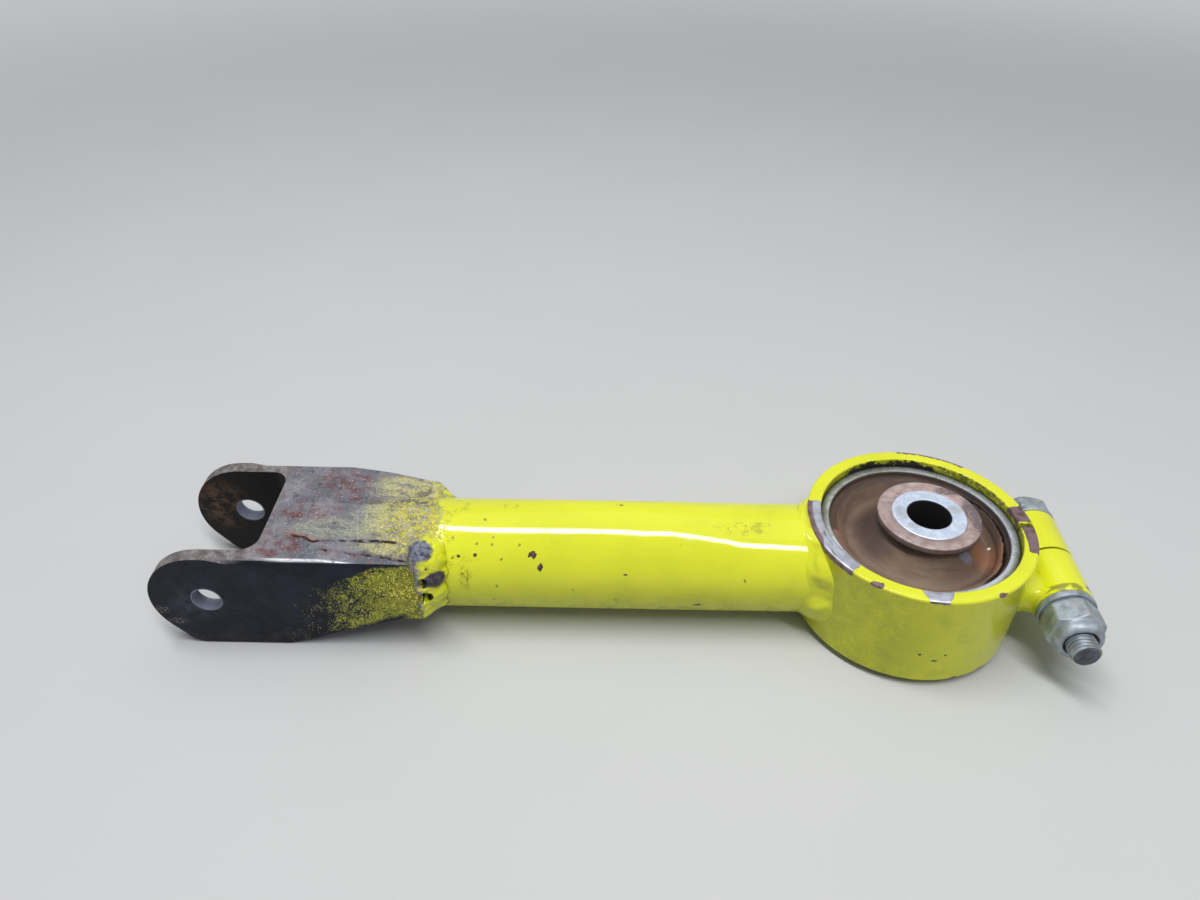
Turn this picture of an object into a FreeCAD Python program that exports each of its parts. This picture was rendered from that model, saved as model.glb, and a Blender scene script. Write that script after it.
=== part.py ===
"""Engine mount arm: a welded steel strut with a pinned clevis at one end and a
split clamp ring at the other. The ring grips a bonded rubber bushing, and a
cross bolt through a sawn lug tube closes the split.

The origin is the middle of the bushing's bore. +Z runs along that bore, the
strut and its clevis lie towards -X, and the clamp bolt crosses the other side
of the ring, nearly along Y. The near side is -Y. In service the core has
settled off the ring's middle, away from the strut. The pieces are made about
the ring's axis and moved to the bore at the end. All sizes are in millimetres
and all angles in degrees.
"""

import FreeCAD
import Part
import math
import os

Vec = FreeCAD.Vector
ORIGIN = Vec(0, 0, 0)
X_AXIS = Vec(1, 0, 0)
Y_AXIS = Vec(0, 1, 0)
Z_AXIS = Vec(0, 0, 1)
NEAR = -1
FAR = 1

# Clamp ring
ring_outer_d = 50.8
ring_wall = 3.2
ring_height = 25.4
slit_width = 0.6
clamp_azimuth = -2.9

# Strut tube
tube_d = 25.4
tube_wall = 2.4

# Clevis channel, formed from one sheet
pin_to_ring = 160.4
pin_hole_d = 6.5
sheet = 3.3
tube_side_gap = 0.65
web_below_tube_top = 0.3
ear_tip_r = 12.8
ear_tip_sweep = 128.0
ear_depth = 14.1
ear_foot_r = 5.0
skirt_flat_length = 21.5
skirt_end_length = 5.0
skirt_end_depth = 5.0
bend_outer_r = 1.4
bend_run_out = 6.0
bend_inner_r = 2.0
web_edge_from_pin = 12.4
web_corner_r = 4.0
web_bridge = 8.4
web_flat_length = 14.5
web_slope_length = 21.5
web_slope_drop = 3.0
web_slot_width = 16.0
shoulder_before_web = 4.0
shoulder_lean = 2.6
shoulder_depth = 9.0

# Weld beads
ring_weld_reach = 1.9
ring_weld_height = 2.8
ring_weld_above_tube = 0.4
end_weld_width = 6.0
end_weld_crest = 3.0
end_weld_height = 3.0
end_weld_past_end = 1.5
end_weld_off_slot = 0.5
end_weld_to = 118.0
lump_root = 2.0
lump_shoulder = 2.0
upper_lump_r = 3.2
upper_lump_height = 4.2
upper_lump_angle = 47.0
upper_lump_past_end = 0.3
lower_lump_r = 2.8
lower_lump_height = 3.8
lower_lump_angle = 71.0
lower_lump_past_end = 2.2
lug_weld_depth = 9.5

# Clamp lug and its bolt
lug_d = 12.7
lug_half_length = 13.2
lug_bore_gap = 0.15
bolt_d = 6.35
bolt_tip_chamfer = 0.7
bolt_proud = 3.6
hex_flats = 11.1
hex_bevel = 0.5
hex_bevel_angle = 30.0
head_height = 4.0
head_clocking = 8.0
washer_d = 12.7
washer_thickness = 1.6
washer_bore_gap = 0.2

# Lock nut
nut_hex_height = 7.2
nut_hex_bevel = 0.9
nut_height = 8.5
nut_crown_d = 9.2
nut_insert_wall = 0.8
nut_insert_height = 1.7
nut_insert_inset = 0.6
nut_clocking = 22.0
thread_gap = 0.05

# Bonded bushing
sleeve_wall = 2.2
sleeve_inset = 2.2
core_settle = 1.6
core_d = 16.6
core_bore_d = 9.6
core_proud = 1.7
snub_washer_d = 23.0
snub_washer_thickness = 1.8
snub_fit_gap = 0.02
bond_gap = 0.05
rubber_rim_inset = 1.3
rubber_dish_depth = 3.4
rubber_dish_slope = 3.8
rubber_hub_inset = 1.8
rubber_hub_width = 2.2

# Places that follow from the sizes above
ring_r = ring_outer_d / 2
ring_bore_r = ring_r - ring_wall
ring_top = ring_height / 2
tube_r = tube_d / 2
ear_gap_half = tube_r + tube_side_gap
ear_face = ear_gap_half + sheet
web_top = tube_r - web_below_tube_top
pin_x = -pin_to_ring
web_edge_x = pin_x + web_edge_from_pin
tube_end_x = web_edge_x + web_bridge
slope_start_x = web_edge_x + web_flat_length
channel_end_x = slope_start_x + web_slope_length
slope_end_z = web_top - web_slope_drop
end_weld_from = math.degrees(math.asin((web_slot_width / 2 + end_weld_off_slot) / tube_r))
lug_r = lug_d / 2
lug_x = ring_r + lug_r
bolt_r = bolt_d / 2
washer_face = lug_half_length + washer_thickness
sleeve_half = ring_top - sleeve_inset
sleeve_bore_r = ring_bore_r - sleeve_wall
core_r = core_d / 2
core_bore_r = core_bore_d / 2
core_half = ring_top + core_proud
snub_face = core_half - snub_washer_thickness


def placed(shape, start, direction):
    """The shape with its own Z axis turned to direction and its origin at start."""
    shape.Placement = FreeCAD.Placement(start, FreeCAD.Rotation(Z_AXIS, direction))
    return shape


def face_of(edges):
    """A flat face inside edges that follow one another."""
    return Part.Face(Part.Wire(edges))


def outline(*points):
    """Straight edges through points, closed back to the first."""
    return [Part.makeLine(a, b) for a, b in zip(points, points[1:] + points[:1])]


def turned(edges, start=ORIGIN, direction=Z_AXIS):
    """The outline in its XZ plane, turned about Z, then placed."""
    return placed(face_of(edges).revolve(ORIGIN, Z_AXIS, 360), start, direction)


def at(radius, height):
    """A point of an outline that is turned."""
    return Vec(radius, 0, height)


def tube_between(outer_r, inner_r, start, direction, length):
    """A plain tube between two radii."""
    bore = Part.makeCylinder(inner_r, length, start, direction)
    return Part.makeCylinder(outer_r, length, start, direction).cut(bore)


def block(low, high):
    """A box between two opposite corners."""
    size = high - low
    return Part.makeBox(size.x, size.y, size.z, low)


def rounded(solid, radius, chosen):
    """The solid with the edges that chosen accepts rounded."""
    return solid.makeFillet(radius, [e for e in solid.Edges if chosen(e)])


def along_x(edge):
    """Whether an edge runs mainly lengthwise."""
    return edge.BoundBox.XLength > edge.BoundBox.YLength + edge.BoundBox.ZLength


def along_y(edge):
    """Whether an edge runs straight across the arm."""
    return edge.BoundBox.YLength > edge.BoundBox.XLength + edge.BoundBox.ZLength


def clocked(shape):
    """A piece of the clamp, turned to where the ring was sawn."""
    shape.rotate(ORIGIN, Z_AXIS, clamp_azimuth)
    return shape


def tube_space():
    """The strut tube's outer cylinder, cut from whatever sits round it."""
    return Part.makeCylinder(tube_r, -tube_end_x, Vec(tube_end_x, 0, 0), X_AXIS)


def ring_space():
    """The clamp ring's outer cylinder, taller than the ring."""
    return Part.makeCylinder(ring_r, 2 * ring_height, Vec(0, 0, -ring_height), Z_AXIS)


def lug_space():
    """The clamp lug's outer cylinder, longer than the lug."""
    return Part.makeCylinder(lug_r, 4 * lug_half_length, Vec(lug_x, -2 * lug_half_length, 0), Y_AXIS)


def make_strut_tube():
    """The round strut, open inside the clevis and coped to the ring."""
    tube = tube_between(tube_r, tube_r - tube_wall, Vec(tube_end_x, 0, 0), X_AXIS, -tube_end_x)
    return tube.cut(ring_space())


def make_clamp_ring():
    """The ring that grips the bushing, sawn through on its far side."""
    ring = tube_between(ring_r, ring_bore_r, Vec(0, 0, -ring_top), Z_AXIS, ring_height)
    half_slit = slit_width / 2
    slit = block(Vec(0, -half_slit, -ring_height), Vec(lug_x, half_slit, ring_height))
    return ring.cut(clocked(slit))


def channel_side():
    """The channel from the side: round ear, level then sloping top, skirt that tapers."""
    turn = math.radians(90 + ear_tip_sweep)
    half_turn = math.radians(90 + ear_tip_sweep / 2)
    tip_z = web_top - ear_tip_r
    tip_top = Vec(pin_x, 0, web_top)
    tip_mid = Vec(pin_x + ear_tip_r * math.cos(half_turn), 0, tip_z + ear_tip_r * math.sin(half_turn))
    tip_low = Vec(pin_x + ear_tip_r * math.cos(turn), 0, tip_z + ear_tip_r * math.sin(turn))
    foot_x = tip_low.x + (ear_depth + tip_low.z) * math.tan(turn)
    edges = outline(
        tip_low,
        Vec(foot_x, 0, -ear_depth),
        Vec(foot_x + skirt_flat_length, 0, -ear_depth),
        Vec(channel_end_x - skirt_end_length, 0, -skirt_end_depth),
        Vec(channel_end_x, 0, -skirt_end_depth),
        Vec(channel_end_x, 0, slope_end_z),
        Vec(slope_start_x, 0, web_top),
        tip_top,
    )
    edges[-1] = Part.Arc(tip_top, tip_mid, tip_low).toShape()
    return edges


def tetrahedron(corner, *others):
    """The solid between four points."""
    threes = [(corner, *[p for p in others if p is not left]) for left in others] + [others]
    return Part.makeSolid(Part.makeShell([face_of(outline(*three)) for three in threes]))


def bend_shavings():
    """What the bends' outer radius takes off the upper corners. It runs out along the ears."""
    start_x = web_edge_x - web_corner_r
    low = slope_end_z - sheet
    side = outline(
        Vec(start_x - bend_run_out, -ear_face, low),
        Vec(start_x - bend_run_out, -ear_face, web_top),
        Vec(slope_start_x, -ear_face, web_top),
        Vec(channel_end_x, -ear_face, slope_end_z),
        Vec(channel_end_x, -ear_face, low),
    )
    square = face_of(side).extrude(Vec(0, 2 * ear_face, 0))
    bent = rounded(square, bend_outer_r, lambda e: along_x(e) and e.BoundBox.ZMin > low)
    shavings = square.cut(bent)
    kept = block(Vec(start_x, -ear_face, low), Vec(channel_end_x, ear_face, web_top))
    for side in (NEAR, FAR):
        corner = Vec(start_x, side * ear_face, web_top)
        run_out = tetrahedron(
            corner,
            corner - X_AXIS * bend_run_out,
            corner - Y_AXIS * side * bend_outer_r,
            corner - Z_AXIS * bend_outer_r,
        )
        kept = kept.fuse(run_out)
    return shavings.common(kept)


def channel_hollow():
    """The space between the sides and under the web, with the bends' inner radius."""
    start_x = pin_x - 2 * ear_tip_r
    end_x = channel_end_x + sheet
    under = web_top - sheet
    under_end = under - (end_x - slope_start_x) * web_slope_drop / web_slope_length
    deep = -2 * ear_depth
    side = outline(
        Vec(start_x, -ear_gap_half, deep),
        Vec(start_x, -ear_gap_half, under),
        Vec(slope_start_x, -ear_gap_half, under),
        Vec(end_x, -ear_gap_half, under_end),
        Vec(end_x, -ear_gap_half, deep),
    )
    hollow = face_of(side).extrude(Vec(0, 2 * ear_gap_half, 0))
    hollow = rounded(hollow, bend_inner_r, lambda e: along_x(e) and e.BoundBox.ZMin > 0)
    for side in (NEAR, FAR):
        wedge = shoulder_wedge(side)
        wedge.translate(Vec(0, -side * sheet, -sheet))
        hollow = hollow.cut(wedge)
    return hollow


def clevis_mouth():
    """The open mouth between the ears, where the web's edge curves into each ear."""
    low = Vec(pin_x - 2 * ear_tip_r, -ear_gap_half, web_top - sheet - bend_inner_r)
    high = Vec(web_edge_x, ear_gap_half, web_top + sheet)
    mouth = block(low, high)
    return rounded(mouth, web_corner_r, lambda e: e.BoundBox.ZLength > sheet and e.BoundBox.XMin > pin_x)


def web_slot():
    """The slot in the web that the tube's crown comes up through."""
    half = web_slot_width / 2
    low = Vec(tube_end_x, -half, slope_end_z - 2 * sheet)
    return block(low, Vec(channel_end_x + sheet, half, web_top + sheet))


def shoulder_wedge(side):
    """What an upper corner loses where the side leans in towards the tube."""
    overrun = 1 + sheet / (channel_end_x - web_edge_x + shoulder_before_web)
    start = Vec(web_edge_x - shoulder_before_web, side * ear_face, web_top)
    lean = start + (Vec(channel_end_x, side * (ear_face - shoulder_lean), slope_end_z) - start) * overrun
    drop = start + (Vec(channel_end_x, side * ear_face, slope_end_z - shoulder_depth) - start) * overrun
    outside = Vec(lean.x, side * (ear_face + sheet), web_top + sheet)
    return tetrahedron(start, lean, drop, outside)


def make_clevis_channel():
    """The formed sheet: two ears, and a web that is slotted over the tube."""
    channel = face_of(channel_side()).extrude(Vec(0, 2 * ear_face, 0))
    channel.translate(Vec(0, -ear_face, 0))
    channel = rounded(channel, ear_foot_r, lambda e: e.BoundBox.ZMax < -skirt_end_depth and along_y(e))
    for space in (bend_shavings(), channel_hollow(), clevis_mouth(), web_slot(), tube_space()):
        channel = channel.cut(space)
    for side in (NEAR, FAR):
        channel = channel.cut(shoulder_wedge(side))
    pin_hole = Part.makeCylinder(pin_hole_d / 2, 4 * ear_face, Vec(pin_x, -2 * ear_face, 0), Y_AXIS)
    return channel.cut(pin_hole)


def make_seam_weld(side):
    """The weld that fills the groove between the slot's edge and the tube's crown."""
    low = slope_end_z - sheet
    profile = outline(
        Vec(tube_end_x, 0, low),
        Vec(tube_end_x, 0, web_top),
        Vec(slope_start_x, 0, web_top),
        Vec(channel_end_x, 0, slope_end_z),
        Vec(channel_end_x, 0, low),
    )
    groove = face_of(profile).extrude(Vec(0, side * web_slot_width / 2, 0))
    return groove.cut(tube_space())


def weld_lump(radius, height, angle, past_end):
    """A round lump of weld that stands on the tube's near side."""
    outwards = Vec(0, NEAR * math.sin(math.radians(angle)), math.cos(math.radians(angle)))
    start = Vec(channel_end_x + past_end, 0, 0) + outwards * (tube_r - lump_root)
    top = lump_root + height
    return turned(
        outline(
            at(0, 0),
            at(radius, 0),
            at(radius, top - lump_shoulder),
            at(0, top),
        ),
        start,
        outwards,
    )


def make_end_weld(side, channel):
    """The bead round the channel's end, down one side of the tube."""
    middle = channel_end_x + end_weld_past_end
    half = end_weld_width / 2
    crest = end_weld_crest / 2
    root_r = tube_r - end_weld_height / 2
    flank_r = tube_r + end_weld_height / 2
    section = outline(
        Vec(middle - half, 0, root_r),
        Vec(middle - half, 0, flank_r),
        Vec(middle - crest, 0, tube_r + end_weld_height),
        Vec(middle + crest, 0, flank_r),
        Vec(middle + half, 0, root_r),
    )
    section = face_of(section)
    section.rotate(ORIGIN, X_AXIS, -side * end_weld_from)
    bead = section.revolve(ORIGIN, X_AXIS, -side * (end_weld_to - end_weld_from))
    if side == NEAR:
        bead = bead.fuse(weld_lump(upper_lump_r, upper_lump_height, upper_lump_angle, upper_lump_past_end))
        bead = bead.fuse(weld_lump(lower_lump_r, lower_lump_height, lower_lump_angle, lower_lump_past_end))
    return bead.cut(channel).cut(channel_hollow()).cut(tube_space())


def make_ring_weld():
    """The bead that follows the seam where the tube meets the ring, thin on top."""
    bead_r = tube_r + ring_weld_height
    centre_z = ring_weld_above_tube - ring_weld_height
    around_tube = Part.makeCylinder(bead_r, 2 * ring_r, Vec(-2 * ring_r, 0, centre_z), X_AXIS)
    beside_ring = Part.makeCylinder(ring_r + ring_weld_reach, 2 * ring_height, Vec(0, 0, -ring_height), Z_AXIS)
    bead = around_tube.common(beside_ring)
    low = -max(ring_top, tube_r) - ring_weld_above_tube
    bead = bead.common(block(Vec(-2 * ring_r, -bead_r, low), Vec(0, bead_r, 2 * ring_height)))
    return bead.cut(ring_space()).cut(tube_space())


def make_clamp_lug(side):
    """One half of the cross tube that the clamp bolt draws together."""
    start = Vec(lug_x, side * slit_width / 2, 0)
    length = lug_half_length - slit_width / 2
    return tube_between(lug_r, bolt_r + lug_bore_gap, start, Y_AXIS * side, length)


def make_lug_weld(side):
    """The weld that fills the corner between a lug half and the ring."""
    length = lug_half_length - slit_width / 2 - washer_thickness / 2
    low = Vec(ring_r / 2, 0, -lug_weld_depth / 2)
    fillet = block(low, Vec(lug_x, length, lug_weld_depth / 2))
    offset = slit_width / 2 if side == FAR else -slit_width / 2 - length
    fillet.translate(Vec(0, offset, 0))
    return fillet.cut(ring_space()).cut(lug_space())


def make_bushing_sleeve():
    """The bushing's plated outer sleeve, gripped by the ring."""
    return tube_between(ring_bore_r, sleeve_bore_r, Vec(0, 0, -sleeve_half), Z_AXIS, 2 * sleeve_half)


def make_bushing_rubber():
    """The bonded rubber: a dished ring in the sleeve, with a hub round the settled core."""
    outer_r = sleeve_bore_r - bond_gap
    inner_r = core_r + bond_gap
    rim_z = sleeve_half - rubber_rim_inset
    hub_r = inner_r + rubber_hub_width
    hub_z = snub_face - rubber_hub_inset
    valley_r = outer_r - rubber_dish_slope
    valley_z = rim_z - rubber_dish_depth
    dish = turned(
        outline(
            at(0, -valley_z),
            at(0, valley_z),
            at(valley_r, valley_z),
            at(outer_r, rim_z),
            at(outer_r, -rim_z),
            at(valley_r, -valley_z),
        )
    )
    hub = Part.makeCylinder(hub_r, 2 * hub_z, Vec(core_settle, 0, -hub_z), Z_AXIS)
    bore = Part.makeCylinder(inner_r, 2 * hub_z, Vec(core_settle, 0, -hub_z), Z_AXIS)
    return dish.fuse(hub).cut(bore)


def make_bushing_core():
    """The plated inner sleeve that the engine bolt goes through."""
    return tube_between(core_r, core_bore_r, Vec(core_settle, 0, -core_half), Z_AXIS, 2 * core_half)


def make_snub_washer(end):
    """The thin flange pressed on one end of the core."""
    start = Vec(core_settle, 0, end * snub_face)
    return tube_between(snub_washer_d / 2, core_r + snub_fit_gap, start, Z_AXIS * end, snub_washer_thickness)


def hexagon(height, bevel, clocking):
    """A hexagonal prism across the fasteners' flats, with its far corners bevelled."""
    corner_r = hex_flats / math.sqrt(3)
    angles = [math.radians(clocking + 60 * i) for i in range(6)]
    corners = [Vec(corner_r * math.cos(a), corner_r * math.sin(a), 0) for a in angles]
    prism = face_of(outline(*corners)).extrude(Z_AXIS * height)
    bevel_r = corner_r - bevel / math.tan(math.radians(hex_bevel_angle))
    envelope = turned(
        outline(at(0, 0), at(corner_r, 0), at(corner_r, height - bevel), at(bevel_r, height), at(0, height))
    )
    return prism.common(envelope)


def make_clamp_bolt():
    """The cross bolt: hex head on the far side, plain shank and chamfered tip."""
    start = Vec(lug_x, washer_face, 0)
    length = 2 * washer_face + nut_height + bolt_proud
    tip_r = bolt_r - bolt_tip_chamfer
    shank = turned(
        outline(at(0, 0), at(bolt_r, 0), at(bolt_r, length - bolt_tip_chamfer), at(tip_r, length), at(0, length)),
        start,
        -Y_AXIS,
    )
    return shank.fuse(placed(hexagon(head_height, hex_bevel, head_clocking), start, Y_AXIS))


def make_bolt_washer(side):
    """The flat washer that bears on one end of the lug."""
    start = Vec(lug_x, side * lug_half_length, 0)
    return tube_between(washer_d / 2, bolt_r + washer_bore_gap, start, Y_AXIS * side, washer_thickness)


def make_lock_nut():
    """The lock nut: hexagon, round crown, and the pocket that holds its locking ring."""
    crown_r = nut_crown_d / 2
    thread_r = bolt_r + thread_gap
    pocket_r = crown_r - nut_insert_wall
    pocket_z = nut_height - nut_insert_inset - nut_insert_height
    crown = Part.makeCylinder(crown_r, nut_height)
    bore = Part.makeCylinder(thread_r, nut_height)
    pocket = Part.makeCylinder(pocket_r, nut_height, Vec(0, 0, pocket_z))
    nut = hexagon(nut_hex_height, nut_hex_bevel, nut_clocking).fuse(crown).cut(bore).cut(pocket)
    return placed(nut, Vec(lug_x, NEAR * washer_face, 0), Y_AXIS * NEAR)


def make_nut_insert():
    """The locking ring in the nut's crown."""
    pocket_r = nut_crown_d / 2 - nut_insert_wall
    pocket_z = nut_height - nut_insert_inset - nut_insert_height
    start = Vec(lug_x, NEAR * (washer_face + pocket_z), 0)
    return tube_between(pocket_r, bolt_r + thread_gap, start, Y_AXIS * NEAR, nut_insert_height)


clevis_channel = make_clevis_channel()

nodes = {
    "strut_tube": make_strut_tube(),
    "clevis_channel": clevis_channel,
    "seam_weld_near": make_seam_weld(NEAR),
    "seam_weld_far": make_seam_weld(FAR),
    "end_weld_near": make_end_weld(NEAR, clevis_channel),
    "end_weld_far": make_end_weld(FAR, clevis_channel),
    "ring_weld": make_ring_weld(),
    "clamp_ring": make_clamp_ring(),
    "clamp_lug_near": clocked(make_clamp_lug(NEAR)),
    "clamp_lug_far": clocked(make_clamp_lug(FAR)),
    "lug_weld_near": clocked(make_lug_weld(NEAR)),
    "lug_weld_far": clocked(make_lug_weld(FAR)),
    "bushing_sleeve": make_bushing_sleeve(),
    "bushing_rubber": make_bushing_rubber(),
    "bushing_core": make_bushing_core(),
    "upper_snub_washer": make_snub_washer(1),
    "lower_snub_washer": make_snub_washer(-1),
    "clamp_bolt": clocked(make_clamp_bolt()),
    "head_washer": clocked(make_bolt_washer(FAR)),
    "nut_washer": clocked(make_bolt_washer(NEAR)),
    "lock_nut": clocked(make_lock_nut()),
    "lock_nut_insert": clocked(make_nut_insert()),
}

os.makedirs("parts", exist_ok=True)
for name, shape in nodes.items():
    shape.translate(Vec(-core_settle, 0, 0))
    shape.exportStep("parts/" + name + ".step")
    print(name, len(shape.Solids), shape.isValid(), round(shape.Volume, 1))
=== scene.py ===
import math

import bmesh
import bpy
import numpy as np
from mathutils import Matrix, Vector, noise


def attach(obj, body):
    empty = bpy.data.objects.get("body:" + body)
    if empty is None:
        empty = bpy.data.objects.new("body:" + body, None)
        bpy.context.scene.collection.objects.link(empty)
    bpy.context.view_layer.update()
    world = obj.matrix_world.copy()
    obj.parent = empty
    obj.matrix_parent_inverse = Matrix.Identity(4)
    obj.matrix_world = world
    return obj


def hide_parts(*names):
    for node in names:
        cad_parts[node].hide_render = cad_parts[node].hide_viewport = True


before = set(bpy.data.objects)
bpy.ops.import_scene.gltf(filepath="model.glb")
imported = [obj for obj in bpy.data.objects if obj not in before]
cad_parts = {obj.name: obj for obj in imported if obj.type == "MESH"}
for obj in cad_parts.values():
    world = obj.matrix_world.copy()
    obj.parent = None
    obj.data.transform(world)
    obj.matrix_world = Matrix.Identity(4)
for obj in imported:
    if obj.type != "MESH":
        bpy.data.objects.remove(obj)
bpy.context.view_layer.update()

MM = 0.001

# Sizes that the dressed pieces share with the solids, in millimetres
settle = 1.6
ring_r = 25.4
ring_bore_r = 22.2
ring_top = 12.7
tube_r = 12.7
tube_bore_r = 10.3
clamp_azimuth = math.radians(-2.9)
slit_half = 0.3
channel_end_x = -113.6
channel_half_width = 16.65
channel_top = 12.4
tube_end_x = -141.2
sleeve_bore_r = 20.0
sleeve_half = 10.5
core_r = 8.3
core_bore_r = 4.8
core_half = 14.4
snub_r = 11.5
snub_face = 12.6
pin_from_bore = 162.0
pin_hole_r = 3.25
lug_r = 6.35
lug_x = 31.75
lug_half_length = 13.2
bolt_r = 3.175
washer_face = 14.8
thread_pitch = 0.907
hex_flat_r = 5.55
hex_corner_r = 6.45
nut_height = 8.5
bolt_proud = 3.6
# The ring and all on it stand this far from the bore's axis, because the core has settled
RING_SHIFT = np.array([-settle, 0, 0])


def drawn_to(start, corner, end, t):
    """A point on the curve from start to end that is drawn towards a corner."""
    return start * (1 - t) ** 2 + corner * 2 * t * (1 - t) + end * t ** 2


def curve_points(points, corners):
    """A profile whose listed corners are rounded: corners maps a point's index to its radius."""
    rounded = []
    steps = 4
    for i, (a, b) in enumerate(points):
        radius = corners.get(i, 0)
        if not radius:
            rounded.append((a, b))
            continue
        here = Vector((a, b))
        before = Vector(points[i - 1]) - here
        after = Vector(points[(i + 1) % len(points)]) - here
        start = here + before.normalized() * radius
        end = here + after.normalized() * radius
        rounded += [tuple(drawn_to(start, here, end, step / steps)) for step in range(steps + 1)]
    return rounded


def turned_section(inner, outer, low, high, rounds):
    """A plain ring's section, its corners counted from the inner low one outwards and up."""
    return curve_points([(inner, low), (outer, low), (outer, high), (inner, high)], rounds)


def skin(rows, around=False, along=False):
    """Quads over a grid of points; around closes each row, along joins the last row to the first."""
    rows = np.asarray(rows, float)
    n, m = rows.shape[:2]
    faces = []
    for i in range(n if along else n - 1):
        for j in range(m if around else m - 1):
            a, b = i * m + j, i * m + (j + 1) % m
            c, d = ((i + 1) % n) * m + (j + 1) % m, ((i + 1) % n) * m + j
            faces.append((a, b, c, d))
    return rows.reshape(-1, 3), faces


def end_caps(points, rows):
    """The two end faces of a skin over rows of points."""
    return [tuple(range(points)), tuple(range((rows - 1) * points, rows * points))]


def linked(name, data):
    """A new object in the scene."""
    obj = bpy.data.objects.new(name, data)
    bpy.context.scene.collection.objects.link(obj)
    return obj


def smoothed(mesh):
    mesh.polygons.foreach_set("use_smooth", [True] * len(mesh.polygons))


def closed_shell(name, verts, faces, finish):
    """An object with one closed smooth mesh, from points in millimetres."""
    mesh = bpy.data.meshes.new(name)
    mesh.from_pydata([tuple(v * MM for v in p) for p in verts], [], faces)
    work = bmesh.new()
    work.from_mesh(mesh)
    bmesh.ops.remove_doubles(work, verts=work.verts, dist=1e-6)
    bmesh.ops.dissolve_degenerate(work, dist=1e-7, edges=work.edges)
    bmesh.ops.recalc_face_normals(work, faces=work.faces)
    work.to_mesh(mesh)
    work.free()
    mesh.materials.append(finish)
    smoothed(mesh)
    return linked(name, mesh)


def piece(name, verts, faces, finish, body, node, weighted=True):
    """A closed piece on its body, in place of a CAD node."""
    obj = closed_shell(name, verts, faces, finish)
    if weighted:
        settle_normals(obj)
    return dressed(obj, body, [node])


def settle_normals(obj):
    """Keeps flat faces flat beside rounded edges."""
    modifier = obj.modifiers.new("normals", "WEIGHTED_NORMAL")
    modifier.keep_sharp = True
    applied(obj)


def applied(obj):
    """Turns what the modifiers make into the object's own mesh."""
    bpy.context.view_layer.update()
    made = bpy.data.meshes.new_from_object(obj.evaluated_get(bpy.context.evaluated_depsgraph_get()))
    obj.modifiers.clear()
    obj.data = made
    return obj


def dressed(obj, body, replaced):
    """Puts a finished piece on its body, in place of CAD nodes."""
    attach(obj, body)
    if replaced:
        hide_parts(*replaced)
    return obj


def lathe(profile, steps=128, start=0.0, sweep=2 * math.pi):
    """A closed profile of (radius, height) turned about Z, capped where it isn't a full turn."""
    full = sweep > 2 * math.pi - 1e-6
    angles = [start + sweep * i / steps for i in range(steps if full else steps + 1)]
    rows = [[(r * math.cos(a), r * math.sin(a), h) for r, h in profile] for a in angles]
    verts, faces = skin(rows, around=True, along=full)
    if not full:
        faces += end_caps(len(profile), len(rows))
    return verts, faces


def moved(verts, matrix):
    """The points after a 4 by 4 matrix."""
    verts = np.asarray(verts, float)
    return verts @ np.array(matrix.to_3x3()).T + np.array(matrix.translation)


def on_clamp(side):
    """From a lathe's own axes to the clamp bolt's line: Z goes outwards on the near (-1) or far (+1) side."""
    turn = Matrix.Rotation(clamp_azimuth, 4, "Z")
    stand = Matrix.Rotation(-side * math.pi / 2, 4, "X")
    return Matrix.Translation((-settle, 0, 0)) @ turn @ Matrix.Translation((lug_x, 0, 0)) @ stand


def on_washer(side):
    """As on_clamp, from the washer's outer face."""
    return on_clamp(side) @ Matrix.Translation((0, 0, washer_face))


def rough(points, size, seed):
    """Smooth noise, about -1 to 1, at points given in millimetres."""
    shift = Vector((seed * 7.3, seed * 3.1, seed * 5.7))
    return np.array([noise.fractal(Vector(p) / size + shift, 1.0, 2.0, 3) for p in points])


def uneven(rows, size, seed, height):
    """Rows of points, the upper ones raised and the lower ones dropped by smooth noise."""
    bumps = iter(rough([p for row in rows for p in row], size, seed))
    return [[(x, y, z + height * next(bumps) * (1 if z > 0 else -1)) for x, y, z in row] for row in rows]


def eased(node, name, width, finish):
    """A copy of a steel CAD node on the arm with its sharp edges broken, in the node's place."""
    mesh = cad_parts[node].data.copy()
    mesh.name = name
    work = bmesh.new()
    work.from_mesh(mesh)
    bmesh.ops.remove_doubles(work, verts=work.verts, dist=2e-6)
    bmesh.ops.dissolve_limit(work, angle_limit=math.radians(0.6), verts=work.verts, edges=work.edges)
    work.to_mesh(mesh)
    work.free()
    mesh.materials.clear()
    mesh.materials.append(finish)
    smoothed(mesh)
    obj = linked(name, mesh)
    bevel = obj.modifiers.new("edges", "BEVEL")
    bevel.width = width * MM
    bevel.segments = 2
    bevel.limit_method = "ANGLE"
    bevel.angle_limit = math.radians(30)
    settle_normals(obj)
    return dressed(obj, "arm", [node])


# Finishes


def rgb(red, green, blue):
    """A linear colour from an sRGB one of 0 to 255."""
    parts = [c / 255 for c in (red, green, blue)]
    return tuple(c / 12.92 if c <= 0.04045 else ((c + 0.055) / 1.055) ** 2.4 for c in parts) + (1.0,)


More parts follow.
